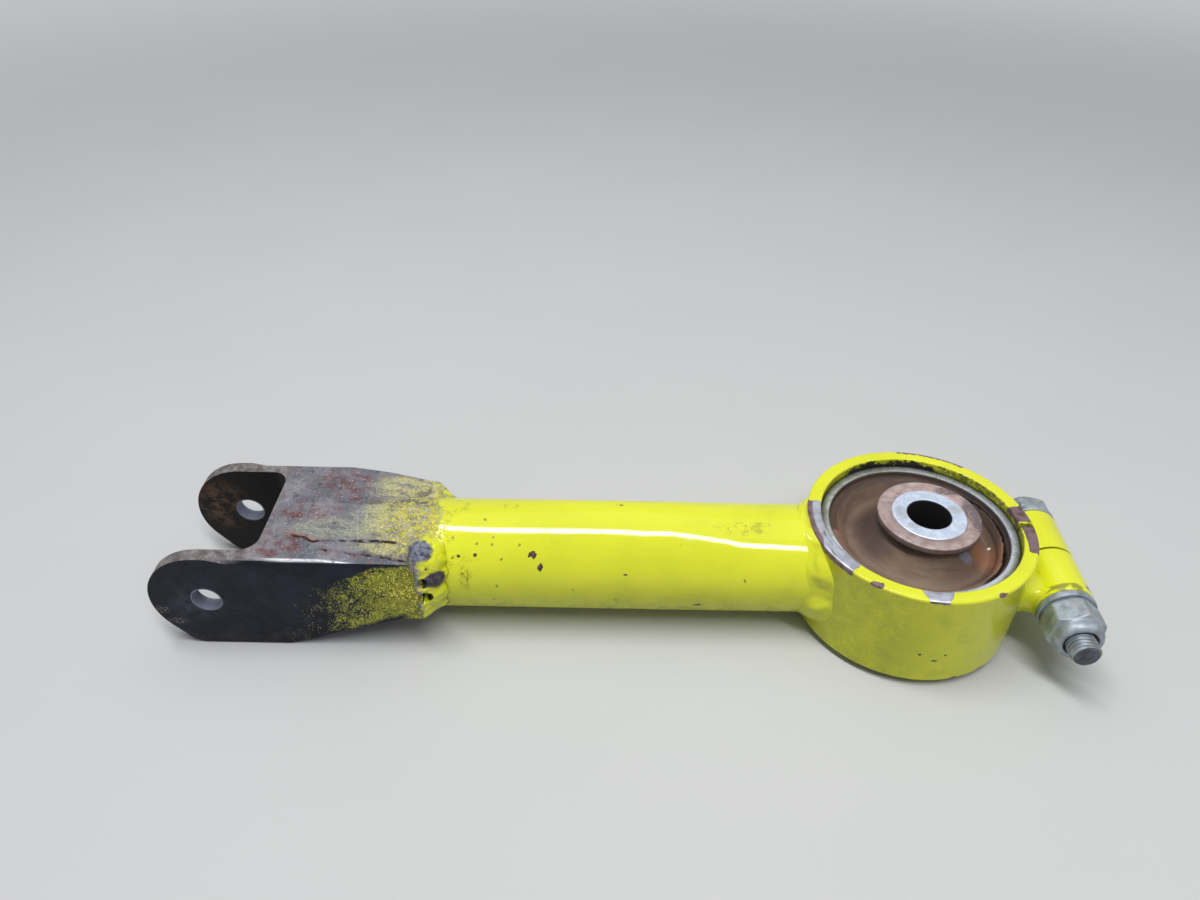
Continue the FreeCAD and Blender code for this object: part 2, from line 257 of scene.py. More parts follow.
class Amount:
    """A number that varies over a surface. Arithmetic on it adds the Math nodes."""

    def __init__(self, finish, socket):
        self.finish = finish
        self.socket = socket

    def math(self, operation, *others):
        node = self.finish.node("Math", dict(enumerate((self,) + others)), operation=operation)
        return Amount(self.finish, node.outputs[0])

    def __add__(self, other):
        return self.math("ADD", other)

    def __radd__(self, other):
        return self.math("ADD", other)

    def __sub__(self, other):
        return self.math("SUBTRACT", other)

    def __rsub__(self, other):
        node = self.finish.node("Math", {0: other, 1: self}, operation="SUBTRACT")
        return Amount(self.finish, node.outputs[0])

    def __mul__(self, other):
        return self.math("MULTIPLY", other)

    def __rmul__(self, other):
        return self.math("MULTIPLY", other)

    def __abs__(self):
        return self.math("ABSOLUTE")

    def __or__(self, other):
        """The larger of two masks."""
        return self.math("MAXIMUM", other)

    def rise(self, low, high):
        """0 below low, 1 above high, smooth between."""
        inputs = {"Value": self, "From Min": low, "From Max": high}
        return Amount(self.finish, self.finish.node("MapRange", inputs, interpolation_type="SMOOTHSTEP").outputs[0])

    def fall(self, low, high):
        """1 below low, 0 above high, smooth between."""
        return 1 - self.rise(low, high)

    def near(self, middle, reach, soft):
        """1 within reach of a middle value, smooth to 0 over soft."""
        return abs(self - middle).fall(reach, reach + soft)


class Finish:
    """A material built from expressions. Places and sizes are in millimetres in the model's frame."""

    def __init__(self, name):
        self.material = bpy.data.materials.new(name)
        self.material.use_nodes = True
        self.tree = self.material.node_tree
        self.tree.nodes.clear()
        coords = self.node("TexCoord", {})
        scaled = self.node("VectorMath", {0: coords.outputs["Object"], 1: (1000, 1000, 1000)}, operation="MULTIPLY")
        self.place = scaled.outputs[0]
        self.x, self.y, self.z = self.split(self.place)
        self.nx, self.ny, self.nz = self.split(coords.outputs["Normal"])

    def node(self, kind, inputs, **settings):
        """Any node: its settings first, then its inputs' values or links."""
        node = self.tree.nodes.new("ShaderNode" + kind)
        for setting, value in settings.items():
            setattr(node, setting, value)
        for key, value in inputs.items():
            if isinstance(value, Amount):
                value = value.socket
            if isinstance(value, bpy.types.NodeSocket):
                self.tree.links.new(value, node.inputs[key])
            else:
                node.inputs[key].default_value = value
        return node

    def split(self, vector):
        parts = self.node("SeparateXYZ", {0: vector})
        return [Amount(self, parts.outputs[i]) for i in range(3)]

    def joined(self, x, y, z):
        return self.node("CombineXYZ", {0: x, 1: y, 2: z}).outputs[0]

    def noise(self, size, seed, detail=3.0, rough=0.5, at=None):
        """Cloudy noise from 0 to 1, about size millimetres across."""
        shift = (seed * 31.7, seed * 17.3, seed * 11.9)
        start = self.node("VectorMath", {0: at or self.place, 1: shift}, operation="ADD").outputs[0]
        made = self.node("TexNoise", {"Vector": start, "Scale": 1 / size, "Detail": detail, "Roughness": rough})
        return Amount(self, made.outputs[0])

    def cells(self, size, seed):
        """The distance to the nearest of scattered points, in units of their spacing."""
        shift = (seed * 13.1, seed * 29.9, seed * 7.7)
        start = self.node("VectorMath", {0: self.place, 1: shift}, operation="ADD").outputs[0]
        return Amount(self, self.node("TexVoronoi", {"Vector": start, "Scale": 1 / size}).outputs["Distance"])

    def spot(self, centre, radii):
        """1 at a place, 0 on the ellipsoid of those radii round it, below 0 outside."""
        away = self.node("VectorMath", {0: self.place, 1: centre}, operation="SUBTRACT")
        shared = self.node("VectorMath", {0: away.outputs[0], 1: radii}, operation="DIVIDE")
        far = self.node("VectorMath", {0: shared.outputs[0]}, operation="LENGTH")
        return 1 - Amount(self, far.outputs["Value"])

    def spots(self, places, ragged, depth=0.5, soft=0.12):
        """A ragged mask over several spots, each (centre, radii)."""
        best = self.spot(*places[0])
        for centre, radii in places[1:]:
            best = best | self.spot(centre, radii)
        return (best + (ragged - 0.5) * depth).rise(-soft, soft)

    def blend(self, mask, under, over):
        """One colour over another where the mask is 1."""
        return self.node("Mix", {0: mask, 6: under, 7: over}, data_type="RGBA").outputs[2]

    def length(self, a, b):
        return (a * a + b * b).math("SQRT")

    def ring_radius(self):
        """The distance from the clamp ring's axis."""
        return self.length(self.x + settle, self.y)

    def core_radius(self):
        """The distance from the bushing's bore."""
        return self.length(self.x, self.y)

    def ring_angle(self):
        """Degrees round the ring's axis from +X, positive towards the far side."""
        return self.y.math("ARCTAN2", self.x + settle) * (180 / math.pi)

    def strut_angle(self):
        """Degrees round the ring's axis from the strut, positive towards the near side."""
        return (self.y * -1).math("ARCTAN2", (self.x + settle) * -1) * (180 / math.pi)

    def shader(self, colour, roughness, metallic, height, specular=0.5, coat=0.0):
        """The shader. height is in millimetres and makes the bump."""
        bump = self.node("Bump", {"Height": height, "Distance": MM, "Strength": 1.0})
        inputs = {
            "Base Color": colour,
            "Roughness": roughness,
            "Metallic": metallic,
            "Normal": bump.outputs[0],
            "Specular IOR Level": specular,
            "Coat Weight": coat,
            "Coat Roughness": 0.1,
        }
        return self.node("BsdfPrincipled", inputs).outputs[0]

    def surface(self, *values, **settings):
        """The finished material, from what shader takes."""
        self.node("OutputMaterial", {"Surface": self.shader(*values, **settings)})
        return self.material


# Colours
ROOM_LIGHT = (0.96, 0.98, 1.0, 1)
ROOM_STRENGTH = 0.22
BACKDROP = (0.86, 0.88, 0.9, 1)
BACKDROP_STRENGTH = 0.6
LEMON = (0.82, 0.85, 0.024, 1.0)
LEMON_DEEP = (0.66, 0.70, 0.016, 1.0)
# The olive that is painted shade on the enamel's sides and undersides
PAINTED_SHADE_OLIVE = rgb(126, 138, 4)
# The dark soot colour, also used for painted shade in creases, pits and on undersides
SOOT_AND_SHADE = rgb(36, 32, 26)
GRIME = rgb(104, 100, 30)
SILVER = rgb(206, 210, 222)
SILVER_DARK = rgb(140, 142, 154)
MAUVE = rgb(126, 100, 104)
BROWN = rgb(74, 56, 52)

# Marks seen on the arm: (place, radii)
TUBE_CHIPS = [
    ((-89.5, -9.3, 8.6), (0.9, 0.7, 0.8)),
    ((-87.8, -11.1, 6.4), (0.6, 0.7, 0.8)),
    ((-102.4, -9.6, 8.4), (0.45, 0.4, 0.4)),
    ((-106.0, -9.8, 8.2), (0.35, 0.3, 0.3)),
    ((-68.8, -11.7, 5.1), (0.5, 0.2, 0.22)),
    ((-52.2, -12.2, -3.7), (0.75, 0.5, 0.4)),
    ((-69.8, 3.8, 12.1), (0.45, 0.4, 0.4)),
]
TUBE_DOTS = [
    (-107.5, -6.7, 10.8),
    (-107.3, -10.0, 7.8),
    (-102.1, -7.7, 10.1),
    (-100.6, -2.3, 12.5),
    (-98.4, -6.4, 11.0),
    (-98.6, -7.8, 10.0),
    (-92.5, -7.8, 10.0),
    (-96.6, -10.1, 7.7),
    (-105.1, -11.8, 4.7),
    (-104.2, -12.2, 3.4),
    (-97.6, -12.6, 1.7),
    (-80.5, -12.7, 1.0),
    (-70.8, -12.5, -2.1),
    (-98.6, -12.4, -2.8),
    (-42.1, -12.0, 4.2),
]
TUBE_RINGS = [((-95.2, 2.6, 12.4), (1.5, 1.0, 1.0)), ((-69.8, 3.8, 12.1), (1.3, 0.9, 1.0))]
TUBE_SMEARS = [((-41.5, -3.2, 12.2), (5.5, 1.7, 2.0)), ((-104.8, -12.0, 4.2), (1.4, 1.4, 2.6))]
RIM_CHIPS = [
    ((-16.8, -20.6, 12.5), (2.3, 1.0, 0.6)),
    ((9.9, -22.9, 12.5), (1.4, 0.7, 0.6)),
    ((4.7, -24.6, -12.4), (0.8, 1.0, 0.6)),
    ((11.5, -22.2, -12.4), (0.9, 1.0, 0.6)),
]
RING_DOTS = [
    ((-4.8, -25.2, -3.9), (0.35, 0.5, 0.35)),
    ((0.7, -25.3, -3.9), (0.3, 0.5, 0.3)),
    ((-1.3, -25.4, -5.7), (0.7, 0.5, 0.25)),
]
LUG_CHIPS = [
    ((34.6, -13.0, 4.6), (1.5, 1.1, 1.4)),
    ((36.3, -12.6, 1.0), (1.0, 1.1, 2.0)),
    ((35.0, 11.0, 4.5), (0.9, 1.0, 0.9)),
]
WELD_BARE = [((-114.0, -13.2, 13.0), (3.4, 3.0, 2.5))]
WELD_DARK = [
    ((-110.2, -15.2, 6.0), (2.8, 2.4, 2.2)),
    ((-113.6, -14.3, 9.5), (0.5, 0.6, 0.5)),
    ((-112.4, -14.8, 9.2), (0.4, 0.5, 0.4)),
]
# Weld pits, painted dark as painted shade in the holes: (place, radii)
WELD_PITS = [
    ((-113.0, -15.4, 5.2), (0.9, 1.8, 0.9)),
    ((-112.8, -16.0, 1.3), (1.5, 1.9, 1.0)),
    ((-28.0, -6.2, 5.8), (0.6, 0.6, 0.5)),
]
WEB_RUST = [
    ((-135.5, 10.0, 12), (7.0, 4.6, 5)),
    ((-141.0, -1.0, 12), (9.0, 2.2, 4)),
    ((-144.0, -11.5, 12), (5.0, 4.5, 4)),
    ((-130.0, 4.0, 12), (6.0, 2.0, 4)),
]
WEB_PALE = [
    ((-119.5, 10.0, 11), (9.0, 4.4, 5)),
    ((-119.5, -10.6, 11), (10.0, 1.9, 4)),
    ((-134.0, -6.0, 12), (9.0, 3.2, 4)),
    ((-121.0, -1.5, 12), (9.0, 6.5, 4)),
]
WEB_DARK = [((-118.5, 3.4, 12), (4.5, 1.2, 3)), ((-127.0, 3.2, 12), (2.4, 1.1, 3)), ((-116.5, 9.0, 10), (2.2, 1.2, 3))]
EAR_SCUFFS = [((-173.0, -16.6, -3.5), (1.6, 1.0, 1.2)), ((-170.4, -16.6, -7.2), (2.4, 1.0, 1.0))]


def chip_colours(f, fine, bright):
    """Bare metal where bright is 1, the mauve-brown skin under the paint elsewhere."""
    brown = f.blend(f.noise(1.6, 31).rise(0.4, 0.75), MAUVE, BROWN)
    brown = f.blend(f.x.fall(-45, -40), brown, f.blend(fine.rise(0.4, 0.6), rgb(52, 38, 32), rgb(94, 72, 62)))
    bare = f.blend(f.noise(2.2, 32, detail=2).rise(0.35, 0.7) * 0.5 + fine * 0.2, SILVER, SILVER_DARK)
    return f.blend(bright, brown, bare)


def enamel(name, chips, soot_and_shade, seed, bare_end=None, sway=None):
    """Gloss lemon enamel, tinted olive as painted shade on its sides and undersides. chips makes the chip masks, and
    the soot function makes dirt and, in places, painted shade; bare_end may show another finish beneath, and sway may
    tip the surface a little."""
    f = Finish(name)
    broad = f.noise(16, seed)
    middle = f.noise(3.2, seed + 1, detail=4)
    fine = f.noise(0.7, seed + 2, detail=4, rough=0.6)
    colour = f.blend(broad.rise(0.35, 0.75) * 0.5, LEMON, LEMON_DEEP)
    # Painted shade: the sides and undersides are tinted darker olive
    low = 1 - f.nz.rise(-0.35, 0.5)
    colour = f.blend(low * (0.44 + (middle - 0.5) * 0.3), colour, PAINTED_SHADE_OLIVE)
    film = (middle * 0.6 + fine * 0.4).rise(0.54, 0.74) * broad.rise(0.45, 0.65) * 0.16
    colour = f.blend(film, colour, GRIME)
    specks = f.cells(3.1, seed + 3).fall(0.02, 0.06) * f.noise(7, seed + 4).rise(0.5, 0.58)
    colour = f.blend(specks * 0.8, colour, SOOT_AND_SHADE)
    # The soot function's mask is dirt and, in places, painted shade
    dirty = soot_and_shade(f, middle, fine)
    colour = f.blend(dirty, colour, SOOT_AND_SHADE)
    ragged = f.noise(0.9, seed + 5, detail=4, rough=0.6)
    chip, bright = chips(f, ragged, fine)
    chip = chip.rise(0.35, 0.6)
    colour = f.blend(chip, colour, chip_colours(f, fine, bright))
    relief = broad * 0.05 + middle * 0.018 + fine * 0.001 - chip * 0.1
    roughness = 0.07 + film * 1.5 + dirty * 0.5 + chip * 0.35
    metallic = chip * bright * 0.75
    if sway:
        relief = relief + sway(f)
    if bare_end:
        beneath, height, dull, shown = bare_end(f)
        colour = f.blend(shown, colour, beneath)
        relief = relief + shown * height
        roughness = roughness * (1 - shown) + dull * shown
    return f.surface(colour, roughness, metallic, relief, specular=0.55)


# Each chips function gives where paint is gone, and where the bare metal there is bright.
# Each soot function gives where the paint is darkened: by dirt, and in places by painted shade.


def tube_chips(f, ragged, fine):
    angular = f.cells(0.7, 44)
    return f.spots(TUBE_CHIPS, angular * 0.7 + ragged * 0.4, 1.2, 0.12), fine.rise(0.62, 0.8) * 0.2


def tube_sway(f):
    """The slow sway of the strut's surface that bends its long highlight."""
    return f.y * f.x.rise(-112, -70) * f.x.fall(-64, -43) * 0.125


def tube_soot_and_shade(f, middle, fine):
    cloud = middle * 0.5 + fine * 0.5
    near_fork = f.x.fall(-110, -98) * cloud.rise(0.54, 0.64) * 0.4
    dots = f.spots([(place, (0.3, 0.3, 0.3)) for place in TUBE_DOTS], f.cells(0.6, 45), 1.4, 0.25) * 0.65
    smear = f.spots(TUBE_SMEARS, middle, 1.0, 0.5) * cloud.rise(0.46, 0.6) * 0.4
    rings = f.spots(TUBE_RINGS, fine, 0.4, 0.3)
    ring = rings * (1 - rings) * 2.0 * middle.rise(0.4, 0.55) * 0.6
    # Painted shade: the tube's downward faces are darkened in patches
    foot_shade = f.nz.fall(-0.5, 0.0) * cloud.rise(0.5, 0.66) * 0.35
    return near_fork | dots | smear | ring | foot_shade


def ring_chips(f, ragged, fine):
    radius = f.ring_radius()
    angle = f.ring_angle()
    wander = (ragged - 0.5) * 7
    edge = (ragged - 0.5) * 1.6
    strut = f.strut_angle()
    top = (f.z + edge).rise(11.0, 11.6)
    inner = (radius - strut.rise(14, 26) * 1.6).fall(24.0, 24.5)
    left = (strut + wander).near(13.5, 27, 2) * top
    lip = (strut + wander).near(0, 12, 3) * (f.z + edge * 1.5).rise(8.6, 10.0) * radius.rise(24.6, 25.2)
    near_patch = (angle + wander * 0.5).near(-14.5, 10, 1.2) * (radius + edge * 0.4 + angle * 0.05).rise(21.9, 22.3)
    far_patch = (angle + wander * 0.5).near(6.0, 6.0, 1.0)
    back = (angle + wander).near(70, 17, 3) * (radius + edge).rise(24.3, 24.7)
    front = (abs(angle + wander * 0.4 + 96) + (radius - 23.8) * 1.3).fall(6.4, 7.2)
    front = front * (f.z + edge * 0.6).rise(11.9, 12.3)
    small = f.spots(RIM_CHIPS, ragged, 0.8, 0.15)
    chip = left | lip | front | small | ((near_patch | far_patch | back) * top)
    silver = (left * inner * (strut - 50).fall(-12, 0)) | (front * inner)
    streak = f.noise(1.4, 36, detail=2, at=f.joined(radius * 2, angle * 0.12, f.z)).rise(0.22, 0.42)
    return chip, silver * streak * f.nz.rise(0.5, 0.8)


def ring_soot_and_shade(f, middle, fine):
    radius = f.ring_radius()
    angle = f.ring_angle()
    cloud = middle * 0.5 + fine * 0.5
    # Inside the bore above the sleeve: darker at the back and lower down, and in a band at the foot of the wall
    inner = radius.fall(22.25, 22.45) * f.z.rise(-5, 0)
    back = inner * (angle + (middle - 0.5) * 50).near(92, 26, 14) * (cloud - (f.z - 11.4) * 0.12).rise(0.36, 0.46)
    right = inner * angle.near(34, 36, 22) * (fine * 0.7 + middle * 0.3).rise(0.42, 0.56) * 0.75
    groove = inner * (f.z + (cloud - 0.5) * 1.2).fall(10.4, 10.9) * 0.85
    off_slit = f.y - (f.x + settle) * math.tan(clamp_azimuth)
    slit = off_slit.near(0, 0.5, 0.5) * radius.rise(22.0, 22.4) * f.x.rise(0, 1) * fine.rise(0.4, 0.6) * 0.7
    faint = f.noise(6, 43, detail=5, rough=0.6).rise(0.5, 0.7) * 0.13 * f.nz.fall(0.3, 0.8)
    dots = f.spots(RING_DOTS, fine, 0.6, 0.15)
    # Partly dirt, partly painted shade: the ring's outer side near the strut is darkened in mottled patches
    toe = (angle + (middle - 0.5) * 20).near(-128, 16, 26) * f.nz.fall(0.2, 0.5) * cloud.rise(0.2, 0.7) * 0.3
    return back | right | groove | slit | faint | dots | toe


def lug_chips(f, ragged, fine):
    """Small chips on both ends of the cross tube."""
    return f.spots(LUG_CHIPS, ragged, 0.8, 0.2), fine.rise(0.35, 0.6) * 0.7


def lug_soot(f, middle, fine):
    rim = (abs(f.y) + (middle - 0.5) * 0.8).rise(12.7, 13.1) * 0.6
    return (middle * 0.5 + fine * 0.5).rise(0.62, 0.7) * 0.2 | rim * middle.rise(0.5, 0.6)


def no_chips(f, ragged, fine):
    return ragged * 0.0, fine


def weld_soot_and_shade(f, middle, fine):
    # Painted shade: the weld pits are painted dark
    pits = f.spots(WELD_PITS, middle, 0.6, 0.15)
    cloud = (middle * 0.5 + fine * 0.5).rise(0.6, 0.72) * f.x.fall(-105, -100) * 0.5
    off_tube = f.length(f.y, f.z)
    # Painted shade: a dark line along the bead's toe on the tube, a painted shadow line
    foot_shade = off_tube.fall(12.9, 13.7) * f.x.near(-107, 4, 4) * (middle * 0.6 + fine * 0.4).rise(0.36, 0.56) * 0.55
    return pits | cloud | foot_shade


def bare_weld(f):
    """The bare blue-grey dome, the dark lump, and the web's dirt where the bead meets the sheet."""
    colour, relief, roughness, _ = web_look(f)
    middle = f.noise(1.3, 33, detail=4)
    fine = f.noise(0.5, 34, detail=4)
    dome = f.spots(WELD_BARE, middle * 0.7 + fine * 0.3, 1.1, 0.15)
    dark = f.spots(WELD_DARK, middle * 0.7 + fine * 0.3, 1.1, 0.15)
    steel = f.blend(middle.rise(0.4, 0.62), rgb(120, 126, 146), rgb(74, 74, 90))
    # Painted highlights: bright flecks on the bare dome stand for glints
    steel = f.blend(fine.rise(0.58, 0.7) * 0.5, steel, rgb(178, 184, 200))
    lump = f.blend(middle.rise(0.4, 0.65), rgb(42, 36, 44), rgb(84, 76, 92))
    colour = f.blend(dome, colour, steel)
    colour = f.blend(dark, colour, lump)
    dirt = (f.x + (middle - 0.5) * 2.6).fall(-114.4, -113.0)
    dirt = dirt | (f.x.fall(-112.5, -108.5) * f.y.rise(4, 7) * (middle * 0.6 + fine * 0.4).rise(0.42, 0.54))
    return colour, relief * 0.6, roughness - dome * 0.25, dome | dark | dirt


def web_look(f):
    """Scale, rust and drifting overspray: the same on the web, its seams and the tube in its slot."""
    broad = f.noise(8, 1, detail=4, rough=0.6)
    middle = f.noise(2.4, 2, detail=6, rough=0.62)
    fine = f.noise(0.5, 3, detail=5, rough=0.7)
    cloud = middle * 0.55 + fine * 0.45
    colour = f.blend(broad.rise(0.36, 0.62), rgb(98, 102, 112), rgb(138, 136, 144))
    colour = f.blend(middle.rise(0.52, 0.66) * 0.6, colour, rgb(122, 94, 98))
    rust = f.spots(WEB_RUST, broad, 1.2, 0.4) * cloud.rise(0.44, 0.56)
    colour = f.blend(rust * 0.8, colour, f.blend(fine.rise(0.4, 0.6), rgb(74, 40, 40), rgb(122, 74, 70)))
    # Painted highlights: fine pale flecks stand for glints of light on the scale
    colour = f.blend(fine.rise(0.57, 0.66) * 0.7, colour, rgb(200, 196, 204))
    colour = f.blend(middle.fall(0.32, 0.44) * 0.65, colour, rgb(64, 58, 66))
    streak = f.noise(2.0, 9, detail=5, rough=0.6, at=f.joined(f.x * 0.3, f.y, f.z))
    pale = f.spots(WEB_PALE, streak * 0.6 + middle * 0.4, 1.5, 0.4) * (streak * 0.5 + cloud * 0.5).rise(0.38, 0.52)
    right = (f.x + (broad - 0.5) * 8).rise(-132, -120)
    thick = f.blend(right, rgb(132, 138, 132), rgb(186, 182, 116))
    # Painted highlights: bright flecks on the pale overspray stand for glints
    thick = f.blend(fine.rise(0.45, 0.62) * (0.4 + right * 0.4), thick, rgb(226, 222, 172))
    thick = f.blend(fine.fall(0.34, 0.44) * 0.6, thick, rgb(104, 102, 96))
    colour = f.blend(pale * 0.8, colour, thick)
    dark = f.spots(WEB_DARK, middle, 0.9, 0.3)
    colour = f.blend(dark * 0.7, colour, rgb(84, 78, 92))
    grow = (f.x + (broad - 0.5) * 10).rise(-134, -113)
    drops = f.cells(0.95, 6) - grow * 0.16
    crown = f.y.near(-2, 6.5, 3)
    speck = drops.fall(0.18, 0.3) * (grow * (0.5 + crown * 0.6) + (middle - 0.5) * 0.9).rise(0.34, 0.6)
    gold = f.blend(f.noise(0.9, 8).rise(0.35, 0.65), rgb(176, 168, 58), rgb(240, 230, 76))
    colour = f.blend(speck * 0.9, colour, gold)
    crack, warm = web_cracks(f, broad, middle, fine)
    warmth = f.blend(f.x.fall(-137, -134), rgb(104, 52, 48), rgb(176, 88, 48))
    colour = f.blend(warm * 0.7, colour, warmth)
    colour = f.blend(crack, colour, rgb(40, 26, 24))
    relief = broad * 0.25 + middle * 0.22 + fine * 0.06 + speck * 0.12 + pale * 0.14 - crack * 0.4
    roughness = 0.5 + fine * 0.2 - speck * 0.2
    return colour, relief, roughness, (1 - pale) * (1 - speck) * 0.35


def web_cracks(f, broad, middle, fine):
    """Dark cracks beside the near seam and near the web's bend, and the rust round them."""
    wiggle = (broad - 0.5) * 2.2 + (middle - 0.5) * 1.6
    bend_x = -138.0
    seam_line = -10.2 + (f.x - bend_x).math("MAXIMUM", 0.0) * 0.13 + (bend_x - f.x).math("MAXIMUM", 0.0) * 0.42
    off_seam = f.y - seam_line + wiggle
    off_bend = f.y + 13.1 + (f.x + 127) * 0.06 + wiggle * 0.8
    broken = f.noise(4, 14).rise(0.4, 0.5)
    seam = off_seam.near(0, 0.12, 0.4) * f.x.rise(-144, -142) * f.x.fall(-117, -113)
    bend = off_bend.near(0, 0.08, 0.3) * f.x.rise(-137, -134) * f.x.fall(-118, -115)
    warm = off_seam.near(0.3, 0.3, 0.8) * f.x.fall(-137, -133) | off_bend.near(0.2, 0.2, 0.6) * f.x.rise(-137, -135)
    warm = warm * fine.rise(0.42, 0.6) * f.x.rise(-145, -142) * f.x.fall(-118, -114)
    upper = f.nz.rise(0.3, 0.6)
    return (seam | bend) * broken * upper, warm * upper


def crown_in_slot(f):
    """The web's look carried over the tube's end, to where the solid paint starts."""
    colour, relief, roughness, _ = web_look(f)
    drift = (f.noise(6, 1, detail=4) - 0.5) * 8 + (f.noise(1.4, 15, detail=4) - 0.5) * 6
    return colour, relief, roughness, (f.x + drift).fall(-114.5, -110.5)


def ear_look(f):
    """The sheet's sides: blue-black scale, with the strut's overspray creeping in from its end."""
    broad = f.noise(9, 51, detail=4)
    middle = f.noise(2.6, 52, detail=6, rough=0.6)
    fine = f.noise(0.55, 53, detail=5, rough=0.65)
    colour = f.blend(middle.rise(0.34, 0.7), rgb(15, 18, 28), rgb(27, 32, 48))
    colour = f.blend(broad.rise(0.4, 0.75) * 0.4, colour, rgb(38, 45, 64))
    # Painted sheen: a lighter blue-grey patch round the pin hole
    sheen_round_hole = f.spot((-164.5, -16.6, -1), (9, 2, 8)).rise(0.1, 0.8) * middle.rise(0.35, 0.6)
    colour = f.blend(sheen_round_hole * 0.4, colour, rgb(84, 88, 104))
    colour = f.blend(fine.rise(0.64, 0.78) * 0.4, colour, rgb(98, 102, 112))
    low = f.z.fall(-12.5, -9.0) * middle.rise(0.4, 0.6)
    colour = f.blend(low * 0.4, colour, rgb(62, 52, 44))
    scuff = f.spots(EAR_SCUFFS, middle, 1.0, 0.3) * fine.rise(0.5, 0.6)
    colour = f.blend(scuff * 0.8, colour, rgb(150, 136, 120))
    left = (f.x - f.z * 0.49 + (middle - 0.5) * 8 + (broad - 0.5) * 6).rise(-142, -137)
    upper = ((f.x + 135) * 0.37).math("MINIMUM", 4.2)
    under_band = (f.z - upper + (middle - 0.5) * 2.4).fall(4.6, 5.4)
    above_edge = (f.z + 5 - (f.x + 118.6) * 0.43 + (middle - 0.5) * 2.0).rise(0.8, 2.4)
    field = left * under_band * (above_edge | f.x.rise(-119, -117)) * abs(f.ny).rise(0.4, 0.7)
    amount = (f.x + (broad - 0.5) * 8).rise(-144, -114)
    cover = field * (fine * 0.55 + middle * 0.45 + amount * 0.28).rise(0.56, 0.74)
    olive = f.blend((fine * 0.6 + middle * 0.4).rise(0.38, 0.62), rgb(96, 98, 34), rgb(168, 170, 56))
    colour = f.blend(cover * 0.9, colour, olive)
    glint = (f.cells(0.8, 54) - amount * 0.1).fall(0.1, 0.2) * field * (amount + (middle - 0.5) * 1.2).rise(0.1, 0.4)
    colour = f.blend(glint * 0.9, colour, rgb(228, 226, 76))
    relief = broad * 0.2 + middle * 0.1 + fine * 0.05 + cover * 0.1 + glint * 0.08
    roughness = 0.45 + fine * 0.25 - glint * 0.15
    return colour, relief, roughness, (1 - cover) * 0.25


def far_ear_look(f, colour):
    """The inside of the far ear: black, with a rust-brown smudge."""
    cloud = f.noise(2.2, 55, detail=5) * 0.6 + f.noise(0.5, 56, detail=4) * 0.4
    smudge = f.spot((-168.5, 13.4, 2.0), (7.5, 6, 9)).rise(-0.1, 0.6) * cloud.rise(0.42, 0.6)
    black = f.blend(smudge * 0.85, rgb(15, 13, 12), rgb(104, 78, 56))
    return f.blend(f.ny.fall(-0.7, -0.4) * f.y.rise(5, 8), colour, black)


def fork_steel():
    """The formed sheet: the web's look on top, the ears' at the sides, bare cut edges, and a bright bend, partly rubbed
    bare and partly a painted highlight.
    """
    f = Finish("weathered_fork_steel")
    web, web_relief, web_dull, web_metal = web_look(f)
    ear, ear_relief, ear_dull, ear_metal = ear_look(f)
    top = f.nz.rise(0.4, 0.75)
    colour = f.blend(top, far_ear_look(f, ear), web)
    middle = f.noise(1.8, 57, detail=5, rough=0.6)
    fine = f.noise(0.4, 58, detail=4)
    off_pin = f.length(f.x + pin_from_bore, f.z)
    hole_wall_and_glint = off_pin.fall(pin_hole_r + 0.1, pin_hole_r + 0.4)
    edge = abs(f.ny).fall(0.5, 0.8) * f.x.fall(-151, -148) * f.z.rise(-9, -2)
    cut = f.blend(middle.rise(0.38, 0.66), rgb(98, 90, 88), rgb(150, 144, 144))
    cut = f.blend(fine.rise(0.5, 0.66) * 0.5, cut, rgb(84, 66, 58))
    colour = f.blend(edge * 0.9, colour, cut)
    # The pin holes' walls: bare drilled steel, lightened bluish as a painted highlight
    colour = f.blend(hole_wall_and_glint * 0.85, colour, f.blend(middle, rgb(150, 158, 182), rgb(112, 112, 128)))
    # The bend's shoulder: partly rubbed bare, partly a painted highlight along the edge
    worn = (f.nz * abs(f.ny)).rise(0.2, 0.42) * (middle * 0.7 + fine * 0.3).rise(0.34, 0.5) * f.x.near(-131, 13, 5)
    colour = f.blend(worn * 0.9, colour, rgb(196, 198, 206))
    relief = web_relief * top + ear_relief * (1 - top) + middle * 0.05
    roughness = web_dull * top + ear_dull * (1 - top) - worn * 0.15
    return f.surface(colour, roughness, web_metal * top + ear_metal * (1 - top) + worn * 0.4, relief, specular=0.35)


def seam_finish():
    """The seam beads, as the web beside them."""
    f = Finish("seam_weld_scale")
    colour, relief, roughness, metallic = web_look(f)
    return f.surface(colour, roughness, metallic, relief + f.noise(1.5, 59, detail=4) * 0.2)


